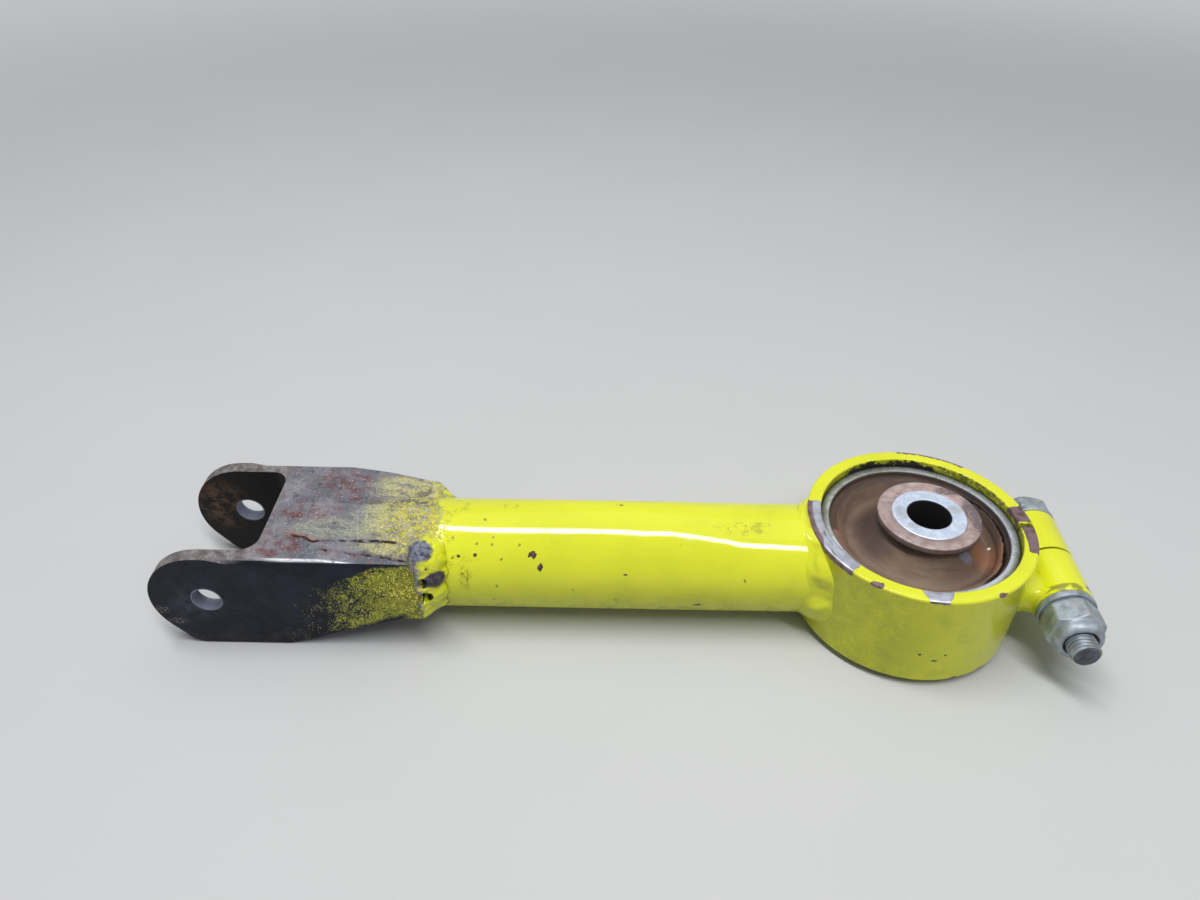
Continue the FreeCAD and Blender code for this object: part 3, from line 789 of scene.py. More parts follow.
def aged_rubber():
    """Brown rubber: painted shade in its valley, orange where it is worn, painted shade in the torn groove and along
    the far rim.
    """
    f = Finish("aged_brown_rubber")
    radius = f.core_radius()
    angle = f.ring_angle()
    broad = f.noise(9, 61)
    fine = f.noise(0.55, 62, detail=5, rough=0.7)
    rings = f.noise(1.1, 63, detail=4, at=f.joined(radius * 2.2, angle * 0.04, f.z))
    colour = f.blend(broad.rise(0.35, 0.68), rgb(110, 90, 78), rgb(132, 110, 92))
    # Painted shade: the valley left of the flange is darkened purple-brown
    valley = f.spot((-12.0, 0.5, 8.4), (6.5, 11.5, 5.0)).rise(-0.1, 0.8)
    colour = f.blend(valley * 0.75, colour, rgb(70, 54, 58))
    tan = f.spot((0, -15.6, 10), (12, 4.4, 6)).rise(0.0, 0.8)
    colour = f.blend(tan * 0.6, colour, rgb(140, 124, 98))
    orange = f.spot((12.6, -6.5, 10), (5.5, 9.0, 6)).rise(0.0, 0.6)
    orange = orange | f.spot((-19.4, 1, 9), (2.0, 10, 4)).rise(0.0, 0.7) * 0.35
    colour = f.blend(orange * 0.7, colour, rgb(162, 108, 76))
    colour = f.blend(rings.rise(0.52, 0.7) * 0.35, colour, rgb(84, 64, 56))
    colour = f.blend(fine.rise(0.56, 0.74) * 0.3, colour, rgb(170, 148, 128))
    from_ring = f.ring_radius()
    # Painted shade: a dark band along the rubber's far rim, beside the sleeve
    far_rim_shade = (from_ring + (rings - 0.5) * 1.5).rise(17.2, 18.8) * angle.near(92, 84, 26)
    colour = f.blend(far_rim_shade * 0.8, colour, rgb(50, 36, 32))
    # Painted shade: the torn groove and the rim beside the sleeve are painted near-black
    torn = f.z.fall(7.6, 8.6) * angle.near(-8, 48, 10) * from_ring.rise(17.2, 18.0)
    torn = torn | ((from_ring + (rings - 0.5) * 1.2).rise(18.5, 19.1) * angle.near(-6, 44, 12))
    colour = f.blend(torn * 0.9, colour, rgb(26, 21, 21))
    rim = from_ring.rise(19.3, 19.8) * fine.rise(0.3, 0.5)
    colour = f.blend(rim * 0.6, colour, rgb(84, 58, 46))
    white = f.spot((14.8, -2.6, 6.3), (0.45, 0.5, 1.2)).rise(0.1, 0.4)
    colour = f.blend(white, colour, rgb(236, 230, 224))
    # A bluish patch under the flange: bare metal, coloured as a painted reflection
    blue = f.spot((6.6, -8.8, 9.6), (2.6, 1.4, 3.0)).rise(0.0, 0.5) * fine.rise(0.35, 0.5)
    colour = f.blend(blue * 0.75, colour, rgb(124, 136, 162))
    relief = fine * 0.05 + rings * 0.05 + broad * 0.1
    return f.surface(colour, 0.46 + fine * 0.25, 0.0, relief, specular=0.4)


def stained_washer():
    """Pinkish brown stain in turned rings, darker on the clamp's side."""
    f = Finish("stained_pink_brown_washer")
    radius = f.core_radius()
    middle = f.noise(2.4, 71, detail=4, rough=0.6)
    fine = f.noise(0.5, 72, detail=4, rough=0.7)
    rings = f.noise(0.5, 73, detail=4, at=f.joined(radius * 2.6, f.ring_angle() * 0.03, 0.0))
    colour = f.blend(middle.rise(0.38, 0.64), rgb(166, 142, 138), rgb(192, 176, 174))
    colour = f.blend(rings.rise(0.5, 0.68) * 0.45, colour, rgb(146, 112, 102))
    stains = [((9.8, 1.0, 14), (1.7, 4.0, 3)), ((6.5, 8.2, 14), (3.2, 1.4, 3)), ((10.2, -4.0, 14), (1.5, 2.8, 3))]
    dark = f.spots(stains, middle, 1.5, 0.3) * (middle * 0.5 + fine * 0.5).rise(0.38, 0.5)
    colour = f.blend(dark * 0.8, colour, rgb(82, 74, 82))
    colour = f.blend(fine.rise(0.62, 0.74) * 0.5, colour, rgb(206, 192, 188))
    colour = f.blend(radius.rise(11.1, 11.4) * (1 - abs(f.nz)) * 0.6, colour, rgb(112, 92, 92))
    # Painted shade: a dark band along the flange's edge next to the rubber, the shadow under its lip
    colour = f.blend(abs(f.z).fall(12.75, 13.3) * 0.85, colour, rgb(48, 38, 40))
    relief = rings * 0.03 + middle * 0.05 - dark * 0.03
    return f.surface(colour, 0.44 + fine * 0.2, 0.3, relief)


def bright_core():
    """Light bluish plate with a few stains, with painted shade in the bore and under the flanges."""
    f = Finish("bluish_core_plate")
    middle = f.noise(1.6, 81, detail=5, rough=0.6)
    fine = f.noise(0.4, 82, detail=4)
    colour = f.blend(middle.rise(0.36, 0.66), rgb(204, 218, 240), rgb(228, 238, 252))
    stains = [((6.0, 1.6, 14), (1.8, 1.4, 2)), ((-6.2, 0.5, 14), (1.4, 2.4, 2)), ((-4.5, -3.8, 14), (1.4, 1.0, 2))]
    colour = f.blend(f.spots(stains, middle, 1.6, 0.3) * 0.4, colour, rgb(150, 154, 136))
    colour = f.blend(fine.fall(0.3, 0.42) * 0.35, colour, rgb(128, 138, 158))
    # Painted shade: the core under the flanges
    under = f.core_radius().rise(8.0, 8.15) * abs(f.z).fall(12.6, 12.8)
    colour = f.blend(under, colour, rgb(54, 44, 42))
    # Painted shade: the bore
    bore = f.core_radius().fall(4.85, 5.15)
    colour = f.blend(bore, colour, rgb(30, 30, 32))
    return f.surface(colour, 0.36 + middle * 0.2 + bore * 0.3, 0.6 - bore * 0.3, middle * 0.04 + fine * 0.01)


def zinc_sleeve():
    """Dull zinc, brighter and bluish towards the clamp as a painted reflection, brown where the rubber meets it and
    dark where the paint does.
    """
    f = Finish("dull_zinc_sleeve")
    radius = f.ring_radius()
    angle = f.ring_angle()
    middle = f.noise(2.8, 91, detail=5, rough=0.6)
    fine = f.noise(0.5, 92, detail=4)
    colour = f.blend(middle.rise(0.35, 0.66), rgb(160, 166, 160), rgb(196, 202, 200))
    # Painted reflection: brighter and bluish towards the clamp
    colour = f.blend(angle.near(0, 50, 40) * 0.7, colour, rgb(208, 218, 236))
    dirty = f.noise(5, 93).rise(0.5, 0.64) * fine.rise(0.4, 0.6) * 0.55
    colour = f.blend(dirty, colour, rgb(120, 106, 92))
    colour = f.blend(radius.rise(21.8, 22.15) * 0.7, colour, rgb(52, 48, 38))
    colour = f.blend(radius.fall(20.05, 20.4) * 0.75, colour, rgb(92, 70, 60))
    return f.surface(colour, 0.4 + middle * 0.2, 0.55 - dirty * 0.4, middle * 0.06 + fine * 0.02)


def dull_fastener(name, seed):
    """Dull grey plate, with the bolt's dark cut tip."""
    f = Finish(name)
    broad = f.noise(5, seed)
    middle = f.noise(2.4, seed + 1, detail=4, rough=0.55)
    fine = f.noise(0.4, seed + 2, detail=4)
    colour = f.blend(middle.rise(0.36, 0.66), rgb(142, 152, 160), rgb(176, 186, 196))
    colour = f.blend(broad.rise(0.5, 0.66) * 0.45, colour, rgb(146, 142, 128))
    colour = f.blend(fine.rise(0.6, 0.75) * 0.35, colour, rgb(206, 214, 224))
    colour = f.blend(middle.fall(0.28, 0.36) * 0.5, colour, rgb(84, 84, 90))
    tip = f.y.fall(-28.1, -27.95)
    colour = f.blend(tip * 0.9, colour, f.blend(middle.rise(0.35, 0.65), rgb(48, 52, 62), rgb(84, 88, 100)))
    return f.surface(colour, 0.4 + middle * 0.2 + tip * 0.2, 0.5 - tip * 0.3, middle * 0.02 + fine * 0.008)


def locking_ring():
    """Dark red-brown fibre."""
    f = Finish("dark_locking_ring")
    middle = f.noise(0.8, 96, detail=4)
    colour = f.blend(middle.rise(0.35, 0.65), rgb(52, 38, 36), rgb(84, 54, 48))
    return f.surface(colour, 0.6 + middle * 0.2, 0.0, middle * 0.05)


def droplet_paint():
    """The drops of overspray: yellow, duller towards the ears."""
    f = Finish("overspray_droplet_paint")
    middle = f.noise(1.4, 97, detail=4)
    colour = f.blend(middle.rise(0.35, 0.65), rgb(192, 184, 74), rgb(236, 228, 84))
    colour = f.blend(f.x.fall(-130, -116) * 0.6, colour, rgb(168, 162, 104))
    return f.surface(colour, 0.3 + middle * 0.2, 0.0, middle * 0.04, coat=0.4)


def pale_floor():
    """A plain pale floor, which passes into the pale backdrop well away from the arm."""
    f = Finish("pale_floor")
    cloud = f.noise(60, 98)
    colour = f.blend(cloud, (0.60, 0.61, 0.62, 1), (0.64, 0.645, 0.65, 1))
    near_floor = f.shader(colour, 0.75 + cloud * 0.1, 0.0, cloud * 0.01, specular=0.2)
    far_floor = f.node("Emission", {"Color": BACKDROP, "Strength": BACKDROP_STRENGTH}).outputs[0]
    shown = f.node("LightPath", {}).outputs["Is Camera Ray"]
    far = f.core_radius().rise(330, 900) * Amount(f, shown)
    mix = f.node("MixShader", {0: far, 1: near_floor, 2: far_floor})
    f.node("OutputMaterial", {"Surface": mix.outputs[0]})
    return f.material


paint_tube = enamel("yellow_enamel_tube", tube_chips, tube_soot_and_shade, 101, crown_in_slot, tube_sway)
paint_ring = enamel("yellow_enamel_ring", ring_chips, ring_soot_and_shade, 121)
paint_lug = enamel("yellow_enamel_lug", lug_chips, lug_soot, 141)
paint_weld = enamel("yellow_enamel_weld", no_chips, weld_soot_and_shade, 161, bare_weld)
fork = fork_steel()
seam = seam_finish()
rubber = aged_rubber()
washer_stain = stained_washer()
core_plate = bright_core()
sleeve_zinc = zinc_sleeve()
bolt_plate = dull_fastener("dull_bolt_plate", 171)
nut_plate = dull_fastener("dull_nut_plate", 175)
locking = locking_ring()
droplet = droplet_paint()


# The arm


def make_clamp_ring():
    """The ring, sawn through on its far side, with broken edges."""
    section = turned_section(ring_bore_r, ring_r, -ring_top, ring_top, {0: 0.5, 1: 0.6, 2: 0.7, 3: 0.5})
    gap = math.asin(slit_half / ring_bore_r)
    verts, faces = lathe(section, 200, clamp_azimuth + gap, 2 * math.pi - 2 * gap)
    return piece("clamp_ring_shell", verts + RING_SHIFT, faces, paint_ring, "arm", "clamp_ring")


def make_strut_tube():
    """The strut, coped to the ring, with its walls."""
    around, length = 160, 60

    def row(radius, t):
        points = []
        for i in range(around):
            a = 2 * math.pi * i / around
            y, z = radius * math.sin(a), radius * math.cos(a)
            end = -math.sqrt(ring_r ** 2 - y ** 2) - settle
            points.append((tube_end_x + (end - tube_end_x) * t, y, z))
        return points

    outer = [row(tube_r, i / length) for i in range(length + 1)]
    inner = [row(tube_bore_r, 1 - i / length) for i in range(length + 1)]
    verts, faces = skin(outer + inner, around=True, along=True)
    return piece("strut_tube_shell", verts, faces, paint_tube, "arm", "strut_tube", weighted=False)


def ring_weld_row(a, across):
    """One line over the bead, from the strut to the ring, and how lumpy the bead is there."""
    s, c = math.sin(a), math.cos(a)
    near = max(0.0, -s)
    low = max(0.0, -c)
    down = math.degrees(math.acos(c))
    lump = 0.4 + 0.4 * math.sin(7 * a + 1.3) * math.sin(3 * a)
    if s < 0:
        lump = 0.9 * math.exp(-((down - 62) / 15) ** 2) + 1.3 * math.exp(-((down - 110) / 19) ** 2)
    reach = 2.3 + 2.2 * s * s + 0.4 * lump
    climb = 1.3 + 0.9 * near + 0.6 * low * near + 0.4 * lump
    seam_x = -math.sqrt(ring_r ** 2 - (tube_r * s) ** 2)

    def off_tube(x, out):
        return Vector((x, (tube_r + out) * s, (tube_r + out) * c))

    z = max(-ring_top + 0.4, min(ring_top - 0.5, (tube_r + climb) * c))
    y = max(-16.0, min(16.0, (tube_r + climb) * s))
    on_ring = Vector((-math.sqrt((ring_r - 0.15) ** 2 - y ** 2), y, z))
    middle = off_tube(seam_x - 0.3, 0.35)
    middle.z = max(-ring_top + 0.2, min(ring_top + 0.2, middle.z))
    toe = off_tube(seam_x - reach, -0.12)
    row = [drawn_to(toe, middle, on_ring, j / across) for j in range(across + 1)]
    return row + [off_tube(seam_x + 0.8, -1.2)], lump


def make_ring_weld():
    """The bead round the tube at the ring: a lumpy fillet that runs out thin on top."""
    around, across = 220, 14
    rows, lumps = zip(*[ring_weld_row(2 * math.pi * i / around, across) for i in range(around)])
    bumps = rough([p for row in rows for p in row], 5.6, 3)
    for i, row in enumerate(rows):
        for j in range(1, across):
            swell = math.sin(math.pi * j / across)
            away = Vector((-0.6, row[j].y * 0.045, row[j].z * 0.045))
            row[j] = row[j] + away * ((0.9 * bumps[i * (across + 2) + j] + 0.9 * lumps[i]) * swell)
    points = [[(p.x - settle, p.y, p.z) for p in row] for row in rows]
    verts, faces = skin(points, around=True, along=True)
    return piece("ring_weld_bead", verts, faces, paint_weld, "arm", "ring_weld", weighted=False)


# The near end weld's dome: its middle and radius
WELD_DOME = Vector((-113.2, -10.7, 8.6))
WELD_DOME_R = 4.8
# Its lumps and holes: degrees down from the top, past the end, radius, height or depth
WELD_LUMPS = [(68, 2.6, 2.9, 4.3), (88, 1.0, 4.4, 3.6)]
WELD_HOLES = [(71, 0.1, 0.9, 2.0), (85, 0.2, 1.2, 2.6)]


def dome_height(angle, past):
    """How far the dome stands off the tube, or nothing beside it."""
    out = Vector((0, -math.sin(angle), math.cos(angle)))
    middle = Vector((0, WELD_DOME.y, WELD_DOME.z))
    along = middle.dot(out)
    left = WELD_DOME_R ** 2 - (middle.length_squared - along ** 2) - (channel_end_x + past - WELD_DOME.x) ** 2
    return max(0.0, along + math.sqrt(left) - tube_r) if left > 0 else 0.0


def end_weld_height(angle, past, side):
    """How far the clevis's end weld stands off the tube, in millimetres, past the channel's end."""
    tallest, hollow = (5.2, 0.85) if side < 0 else (3.9, 1.15)
    reach = 4.8
    degrees = math.degrees(angle)
    beside = (channel_half_width + 0.22) / math.sin(angle)
    above = (channel_top - 0.25) / math.cos(angle) if degrees < 80 else beside
    wall = min(tallest, min(beside, above) - tube_r)
    fillet = wall * max(0.0, 1 - max(0.0, past) / reach) ** hollow
    if past < -1.0:
        fillet = wall * max(0.0, 1 + (past + 1.0) * 0.5)
    span = min(1.0, max(0.0, (degrees - 34) / 9)) * min(1.0, max(0.0, (117 - degrees) / 12))
    heights = [fillet * span]
    if side > 0:
        return heights[0]
    heights.append(dome_height(angle, past))
    for place, where, radius, tall in WELD_LUMPS:
        off = math.hypot((angle - math.radians(place)) * (tube_r + 2), past - where) / radius
        heights.append(tall * max(0.0, 1 - off ** 2) ** 0.62)
    merge = 1.8
    height = math.log(sum(math.exp(merge * h) for h in heights) - len(heights) + 1) / merge
    for place, where, radius, deep in WELD_HOLES:
        off = math.hypot((angle - math.radians(place)) * (tube_r + 3), past - where) / radius
        height -= deep * math.exp(-(off ** 4))
    return height


def make_end_weld(side, name, node):
    """The weld down one side of the tube at the channel's end, as heights over the tube."""
    around, across = 150, 92
    first_turn, sweep = 22, 106
    before_end, length = 4.4, 10.8
    angles = [math.radians(first_turn + sweep * i / around) for i in range(around + 1)]
    places = [channel_end_x - before_end + length * j / across for j in range(across + 1)]
    grid = [(a, x) for a in angles for x in places]

    def at(angle, x, radius):
        return x, side * radius * math.sin(angle), radius * math.cos(angle)

    def scatter(size, seed):
        mean = tube_r + 2
        return rough([(mean * math.sin(a) * side, x, mean * math.cos(a)) for a, x in grid], size, seed + side)

    bumps, drift_a, drift_x = scatter(1.7, 5), scatter(3.4, 15), scatter(3.4, 25)
    upper = []
    for k, (a, x) in enumerate(grid):
        h = end_weld_height(a + 0.03 * drift_a[k], x - channel_end_x + 0.5 * drift_x[k], side)
        h += 0.34 * bumps[k] * min(1.0, max(0.0, h)) - 0.12
        if a in (angles[0], angles[-1]) or x in (places[0], places[-1]):
            h = min(h, -0.25)
        upper.append(at(a, x, tube_r + h))
    m = across + 1
    verts, faces = skin(np.reshape(upper, (around + 1, m, 3)))
    count = len(verts)
    verts = np.vstack([verts, [at(a, x, tube_r - 1.0) for a, x in grid]])
    faces += [tuple(reversed([k + count for k in face])) for face in faces]
    loop = list(range(m)) + [i * m + across for i in range(1, around + 1)]
    loop += [around * m + j for j in range(across - 1, -1, -1)] + [i * m for i in range(around - 1, 0, -1)]
    faces += [(a, b, b + count, a + count) for a, b in zip(loop, loop[1:] + loop[:1])]
    return piece(name, verts, faces, paint_weld, "arm", node, weighted=False)


def make_lug_half(side, name, node):
    """One half of the sawn cross tube, with a rounded outer end."""
    section = turned_section(bolt_r + 0.15, lug_r, slit_half, lug_half_length, {1: 0.25, 2: 0.8})
    verts, faces = lathe(section, 96)
    return piece(name, moved(verts, on_clamp(side)), faces, paint_lug, "arm", node)


def make_lug_weld(side, name, node):
    """The fillets, above and below, between a lug half and the ring."""
    steps, across = 60, 12
    rows = []
    for i in range(steps + 1):
        t = i / steps
        y = side * (slit_half + (lug_half_length - 1.0) * t)
        end = math.sqrt(max(0.0, 1 - max(0.0, (t - 0.86) / 0.14) ** 2))
        rise = (3.9 + 0.5 * math.sin(3.1 * t + side)) * (0.25 + 0.75 * end)
        ring_x = math.sqrt((ring_r - 0.3) ** 2 - y * y)
        phi = math.radians(58) * (0.3 + 0.7 * end)
        row = []
        for sign in (1, -1):
            on_ring = Vector((ring_x, 0, sign * rise))
            on_lug = Vector((lug_x - (lug_r - 0.1) * math.cos(phi), 0, sign * (lug_r - 0.1) * math.sin(phi)))
            corner = Vector((lug_x - lug_r * math.cos(phi * 0.45) - 0.9, 0, sign * rise * 0.52))
            line = [drawn_to(on_ring, corner, on_lug, j / across) for j in range(across + 1)]
            row += [(p.x, y, p.z) for p in line][::sign]
        rows.append(row)
    verts, faces = skin(uneven(rows, 2.2, 8 + side, 0.3), around=True)
    faces += end_caps(len(rows[0]), len(rows))
    turn = Matrix.Translation((-settle, 0, 0)) @ Matrix.Rotation(clamp_azimuth, 4, "Z")
    return piece(name, moved(verts, turn), faces, paint_weld, "arm", node, weighted=False)


make_clamp_ring()
strut = make_strut_tube()
make_ring_weld()
for make, node, ending in (
    (make_end_weld, "end_weld", "bead"),
    (make_lug_half, "clamp_lug", "half"),
    (make_lug_weld, "lug_weld", "fillet"),
):
    for side, way in ((-1, "near"), (1, "far")):
        make(side, f"{node}_{way}_{ending}", f"{node}_{way}")
channel = eased("clevis_channel", "clevis_channel_sheet", 0.35, fork)
for way in ("near", "far"):
    eased(f"seam_weld_{way}", f"seam_weld_{way}_bead", 0.1, seam)


# The bushing


def make_sleeve():
    """The bushing's outer sleeve, pressed into the ring."""
    section = turned_section(sleeve_bore_r, ring_bore_r, -sleeve_half, sleeve_half, {0: 0.35, 3: 0.35})
    verts, faces = lathe(section, 180)
    name = "bushing_sleeve_ring"
    return piece(name, verts + RING_SHIFT, faces, sleeve_zinc, "arm", "bushing_sleeve")


def rubber_height(u):
    """The rubber's upper surface, from the core (u = 0) to the sleeve (u = 1)."""
    hub, valley, rim = 12.0, 6.1, 9.3
    lowest = 0.62
    if u < lowest:
        t, start, end = u / lowest, hub, valley
    else:
        t, start, end = min(1.0, (u - lowest) / (1 - lowest) * 1.25), valley, rim
    return start + (end - start) * (t * t * (3 - 2 * t))


def torn_groove(u, turn):
    """How deep the torn groove beside the sleeve is, at degrees round from the clamp."""
    span = max(0.0, 1 - abs((turn + 8) / 52) ** 4)
    line = 0.925 + 0.014 * math.sin(turn * 0.11) + 0.008 * math.sin(turn * 0.9)
    width = 0.036 * (0.7 + 0.3 * math.sin(turn * 0.23 + 1))
    lip = 0.25 * span * math.exp(-((u - line + 0.07) / 0.04) ** 2)
    return 2.1 * span * math.exp(-((u - line) / width) ** 4) - lip


def make_rubber():
    """The dished rubber, stretched between the settled core and the sleeve, with its torn rim."""
    around, across = 288, 64
    inner_r, outer_r = core_r + 0.04, sleeve_bore_r - 0.04
    rows = []
    for i in range(around):
        a = 2 * math.pi * i / around
        turn = math.degrees(a)
        turn = turn - 360 if turn > 180 else turn
        inner = Vector((inner_r * math.cos(a), inner_r * math.sin(a)))
        outer = Vector((outer_r * math.cos(a) - settle, outer_r * math.sin(a)))
        top, bottom = [], []
        for j in range(across + 1):
            u = j / across
            p = inner.lerp(outer, u)
            top.append((p.x, p.y, rubber_height(u) - torn_groove(u, turn)))
            bottom.append((p.x, p.y, -rubber_height(u)))
        rows.append(top + bottom[::-1])
    verts, faces = skin(uneven(rows, 3.2, 11, 0.14), around=True, along=True)
    name = "bushing_rubber_dish"
    return piece(name, verts, faces, rubber, "arm", "bushing_rubber", weighted=False)


def make_core():
    """The bushing's inner sleeve, with its bore."""
    section = turned_section(core_bore_r, core_r, -core_half, core_half, {0: 0.5, 1: 0.35, 2: 0.35, 3: 0.5})
    verts, faces = lathe(section, 128)
    return piece("bushing_core_sleeve", verts, faces, core_plate, "core", "bushing_core")


def make_snub(end, name, node):
    """A flange, its face a hair below the core's end."""
    section = turned_section(core_r + 0.02, snub_r, end * snub_face, end * core_half - end * 0.06, {1: 0.25, 2: 0.4})
    verts, faces = lathe(section, 144)
    return piece(name, verts, faces, washer_stain, "core", node)


make_sleeve()
make_rubber()
make_core()
make_snub(1, "upper_snub_flange", "upper_snub_washer")
make_snub(-1, "lower_snub_flange", "lower_snub_washer")


# The fasteners


def hex_radius(angle, clocking):
    """A hexagon's radius at an angle, with slightly rounded corners."""
    part = (angle - clocking) % (math.pi / 3) - math.pi / 6
    return min(hex_flat_r / math.cos(part), hex_flat_r * 1.135)


def hex_body(profile, clocking, steps=144):
    """A nut's or head's outside: the profile (radius, height) held inside the hexagon."""
    rows = []
    for i in range(steps):
        a = 2 * math.pi * i / steps
        limit = hex_radius(a, clocking)
        rows.append([(min(r, limit) * math.cos(a), min(r, limit) * math.sin(a), h) for r, h in profile])
    return skin(rows, around=True, along=True)


def make_nut():
    """The lock nut: bevelled hexagon, rounded crown with a rolled-in lip, bore."""
    bore = bolt_r + 0.06
    corner = hex_corner_r
    profile = [(bore, 0.3), (bore + 0.5, 0.0), (5.2, 0.0), (5.7, 0.12), (corner, 0.75)]
    profile += [(corner, 1.5), (corner, 3.0), (corner, 4.9), (6.3, 5.25), (6.05, 5.55), (5.75, 5.8), (5.5, 5.95)]
    profile += [(5.36, 6.15), (5.3, 6.5), (5.26, 7.1), (5.14, 7.6), (4.9, 8.05), (4.55, 8.35), (4.1, 8.48)]
    profile += [(3.75, 8.45), (3.62, 8.25), (3.62, 5.6), (bore, 5.6)]
    verts, faces = hex_body(profile, math.radians(22))
    return piece("lock_nut_body", moved(verts, on_washer(-1)), faces, nut_plate, "nut", "lock_nut")


def make_insert():
    """The locking ring inside the nut's crown."""
    verts, faces = lathe(turned_section(bolt_r + 0.06, 3.6, 6.2, 7.9, {3: 0.2}), 96)
    verts = moved(verts, on_washer(-1))
    return piece("lock_nut_locking_ring", verts, faces, locking, "nut", "lock_nut_insert")


def make_washer(side, name, node, body, finish):
    """A flat washer against one end of the lug."""
    rounds = {0: 0.15, 1: 0.35, 2: 0.35, 3: 0.15}
    verts, faces = lathe(turned_section(bolt_r + 0.2, 6.35, lug_half_length, washer_face, rounds), 112)
    return piece(name, moved(verts, on_clamp(side)), faces, finish, body, node)


def node_tree(name, sockets):
    """A Geometry Nodes tree with named inputs, and its in and out nodes."""
    tree = bpy.data.node_groups.new(name, "GeometryNodeTree")
    tree.interface.new_socket("Geometry", in_out="INPUT", socket_type="NodeSocketGeometry")
    tree.interface.new_socket("Geometry", in_out="OUTPUT", socket_type="NodeSocketGeometry")
    for label, kind, value in sockets:
        socket = tree.interface.new_socket(label, in_out="INPUT", socket_type="NodeSocket" + kind)
        if value is not None:
            socket.default_value = value
    return tree, tree.nodes.new("NodeGroupInput"), tree.nodes.new("NodeGroupOutput")


def add(tree, kind, inputs, prefix="GeometryNode", **settings):
    """A node in a tree: settings first, then its inputs' values or links."""
    node = tree.nodes.new(prefix + kind)
    for setting, value in settings.items():
        setattr(node, setting, value)
    for key, value in inputs.items():
        if isinstance(value, bpy.types.NodeSocket):
            tree.links.new(value, node.inputs[key])
        else:
            node.inputs[key].default_value = value
    return node


def finished(tree, geometry, material, end):
    """The last nodes of a tree: real meshes with their material."""
    real = add(tree, "RealizeInstances", {0: geometry})
    done = add(tree, "SetMaterial", {"Geometry": real.outputs[0], "Material": material})
    tree.links.new(done.outputs[0], end.inputs[0])


def grown(tree, obj, values):
    """Runs a tree on an object and keeps the plain mesh it makes."""
    modifier = obj.modifiers.new("grown", "NODES")
    modifier.node_group = tree
    for item in tree.interface.items_tree:
        if item.in_out == "INPUT" and item.name in values:
            modifier[item.identifier] = values[item.name]
    return applied(obj)


def thread_tree():
    """A helical ridge round a stem, one turn after another."""
    sizes = [("Turns", "Float", 8.0), ("Pitch", "Float", 0.001), ("Radius", "Float", 0.003), ("Ridge", "Float", 0.0004)]
    tree, start, end = node_tree("thread_ridge", sizes + [("Finish", "Material", None)])
    given = start.outputs
    height = add(tree, "Math", {0: given["Turns"], 1: given["Pitch"]}, "ShaderNode", operation="MULTIPLY")
    helix = add(tree, "CurveSpiral", {
        "Resolution": 48,
        "Rotations": given["Turns"],
        "Start Radius": given["Radius"],
        "End Radius": given["Radius"],
        "Height": height.outputs[0],
    })
    shape = add(tree, "CurvePrimitiveCircle", {"Resolution": 3, "Radius": given["Ridge"]})
    swept = add(tree, "CurveToMesh", {"Curve": helix.outputs[0], "Profile Curve": shape.outputs[0], "Fill Caps": True})
    joined = add(tree, "JoinGeometry", {0: swept.outputs[0]})
    tree.links.new(given["Geometry"], joined.inputs[0])
    finished(tree, joined.outputs[0], given["Finish"], end)
    return tree


def thread_ridge(turns, radius):
    """The thread's ridge as an object of its own, along Z from the origin."""
    ridge = linked("clamp_bolt_ridge", bpy.data.meshes.new("clamp_bolt_ridge"))
    sizes = {"Turns": turns, "Pitch": thread_pitch * MM, "Radius": radius * MM, "Ridge": 0.3 * MM, "Finish": bolt_plate}
    return grown(thread_tree(), ridge, sizes)


def make_bolt():
    """The cross bolt, head on the far side, with real thread turns at its near end."""
    tip = 2 * washer_face + nut_height + bolt_proud
    root_r = bolt_r - 0.34
    thread_from = 2 * washer_face + 1.0
    shank = [(0.0, 0.2), (bolt_r - 0.01, 0.2), (bolt_r - 0.01, thread_from - 1), (root_r, thread_from)]
    shank += [(root_r, tip - 0.6), (root_r - 0.1, tip - 0.4), (root_r - 0.35, tip - 0.06), (root_r - 0.45, tip)]
    shank += [(root_r - 0.7, tip), (0.0, tip)]
    corner = hex_corner_r
    head = [(0.0, 0.0), (5.2, 0.0), (6.35, 0.35), (corner, 0.9), (corner, 2.2), (corner, 3.35), (5.75, 3.78)]
    head += [(5.2, 3.95), (4.6, 4.0), (3.4, 3.95), (0.0, 3.9)]
    turned = Matrix.Rotation(math.pi, 4, "X")
    verts_a, faces_a = lathe(shank, 72)
    verts_b, faces_b = hex_body(head, math.radians(8))
    count = len(verts_a)
    faces = faces_a + [tuple(k + count for k in face) for face in faces_b]
    obj = closed_shell("clamp_bolt_threaded", np.vstack([moved(verts_a, turned), verts_b]), faces, bolt_plate)
    settle_normals(obj)
    ridge = thread_ridge((tip - 0.9 - thread_from) / thread_pitch, root_r + 0.06)
    points = np.array([v.co for v in ridge.data.vertices]) / MM
    points = moved(points, turned @ Matrix.Translation((0, 0, thread_from + 0.3)))
    for v, p in zip(ridge.data.vertices, points):
        v.co = Vector(p) * MM
    work = bmesh.new()
    work.from_mesh(obj.data)
    work.from_mesh(ridge.data)
    place = Matrix.Scale(MM, 4) @ on_washer(1) @ Matrix.Scale(1 / MM, 4)
    bmesh.ops.transform(work, matrix=place, verts=work.verts)
    bmesh.ops.recalc_face_normals(work, faces=work.faces)
    work.to_mesh(obj.data)
    work.free()
    bpy.data.objects.remove(ridge)
    smoothed(obj.data)
    return dressed(obj, "arm", ["clamp_bolt"])


make_nut()
make_insert()
make_washer(-1, "nut_flat_washer", "nut_washer", "washer", nut_plate)
make_washer(1, "head_flat_washer", "head_washer", "arm", bolt_plate)
make_bolt()


# The overspray


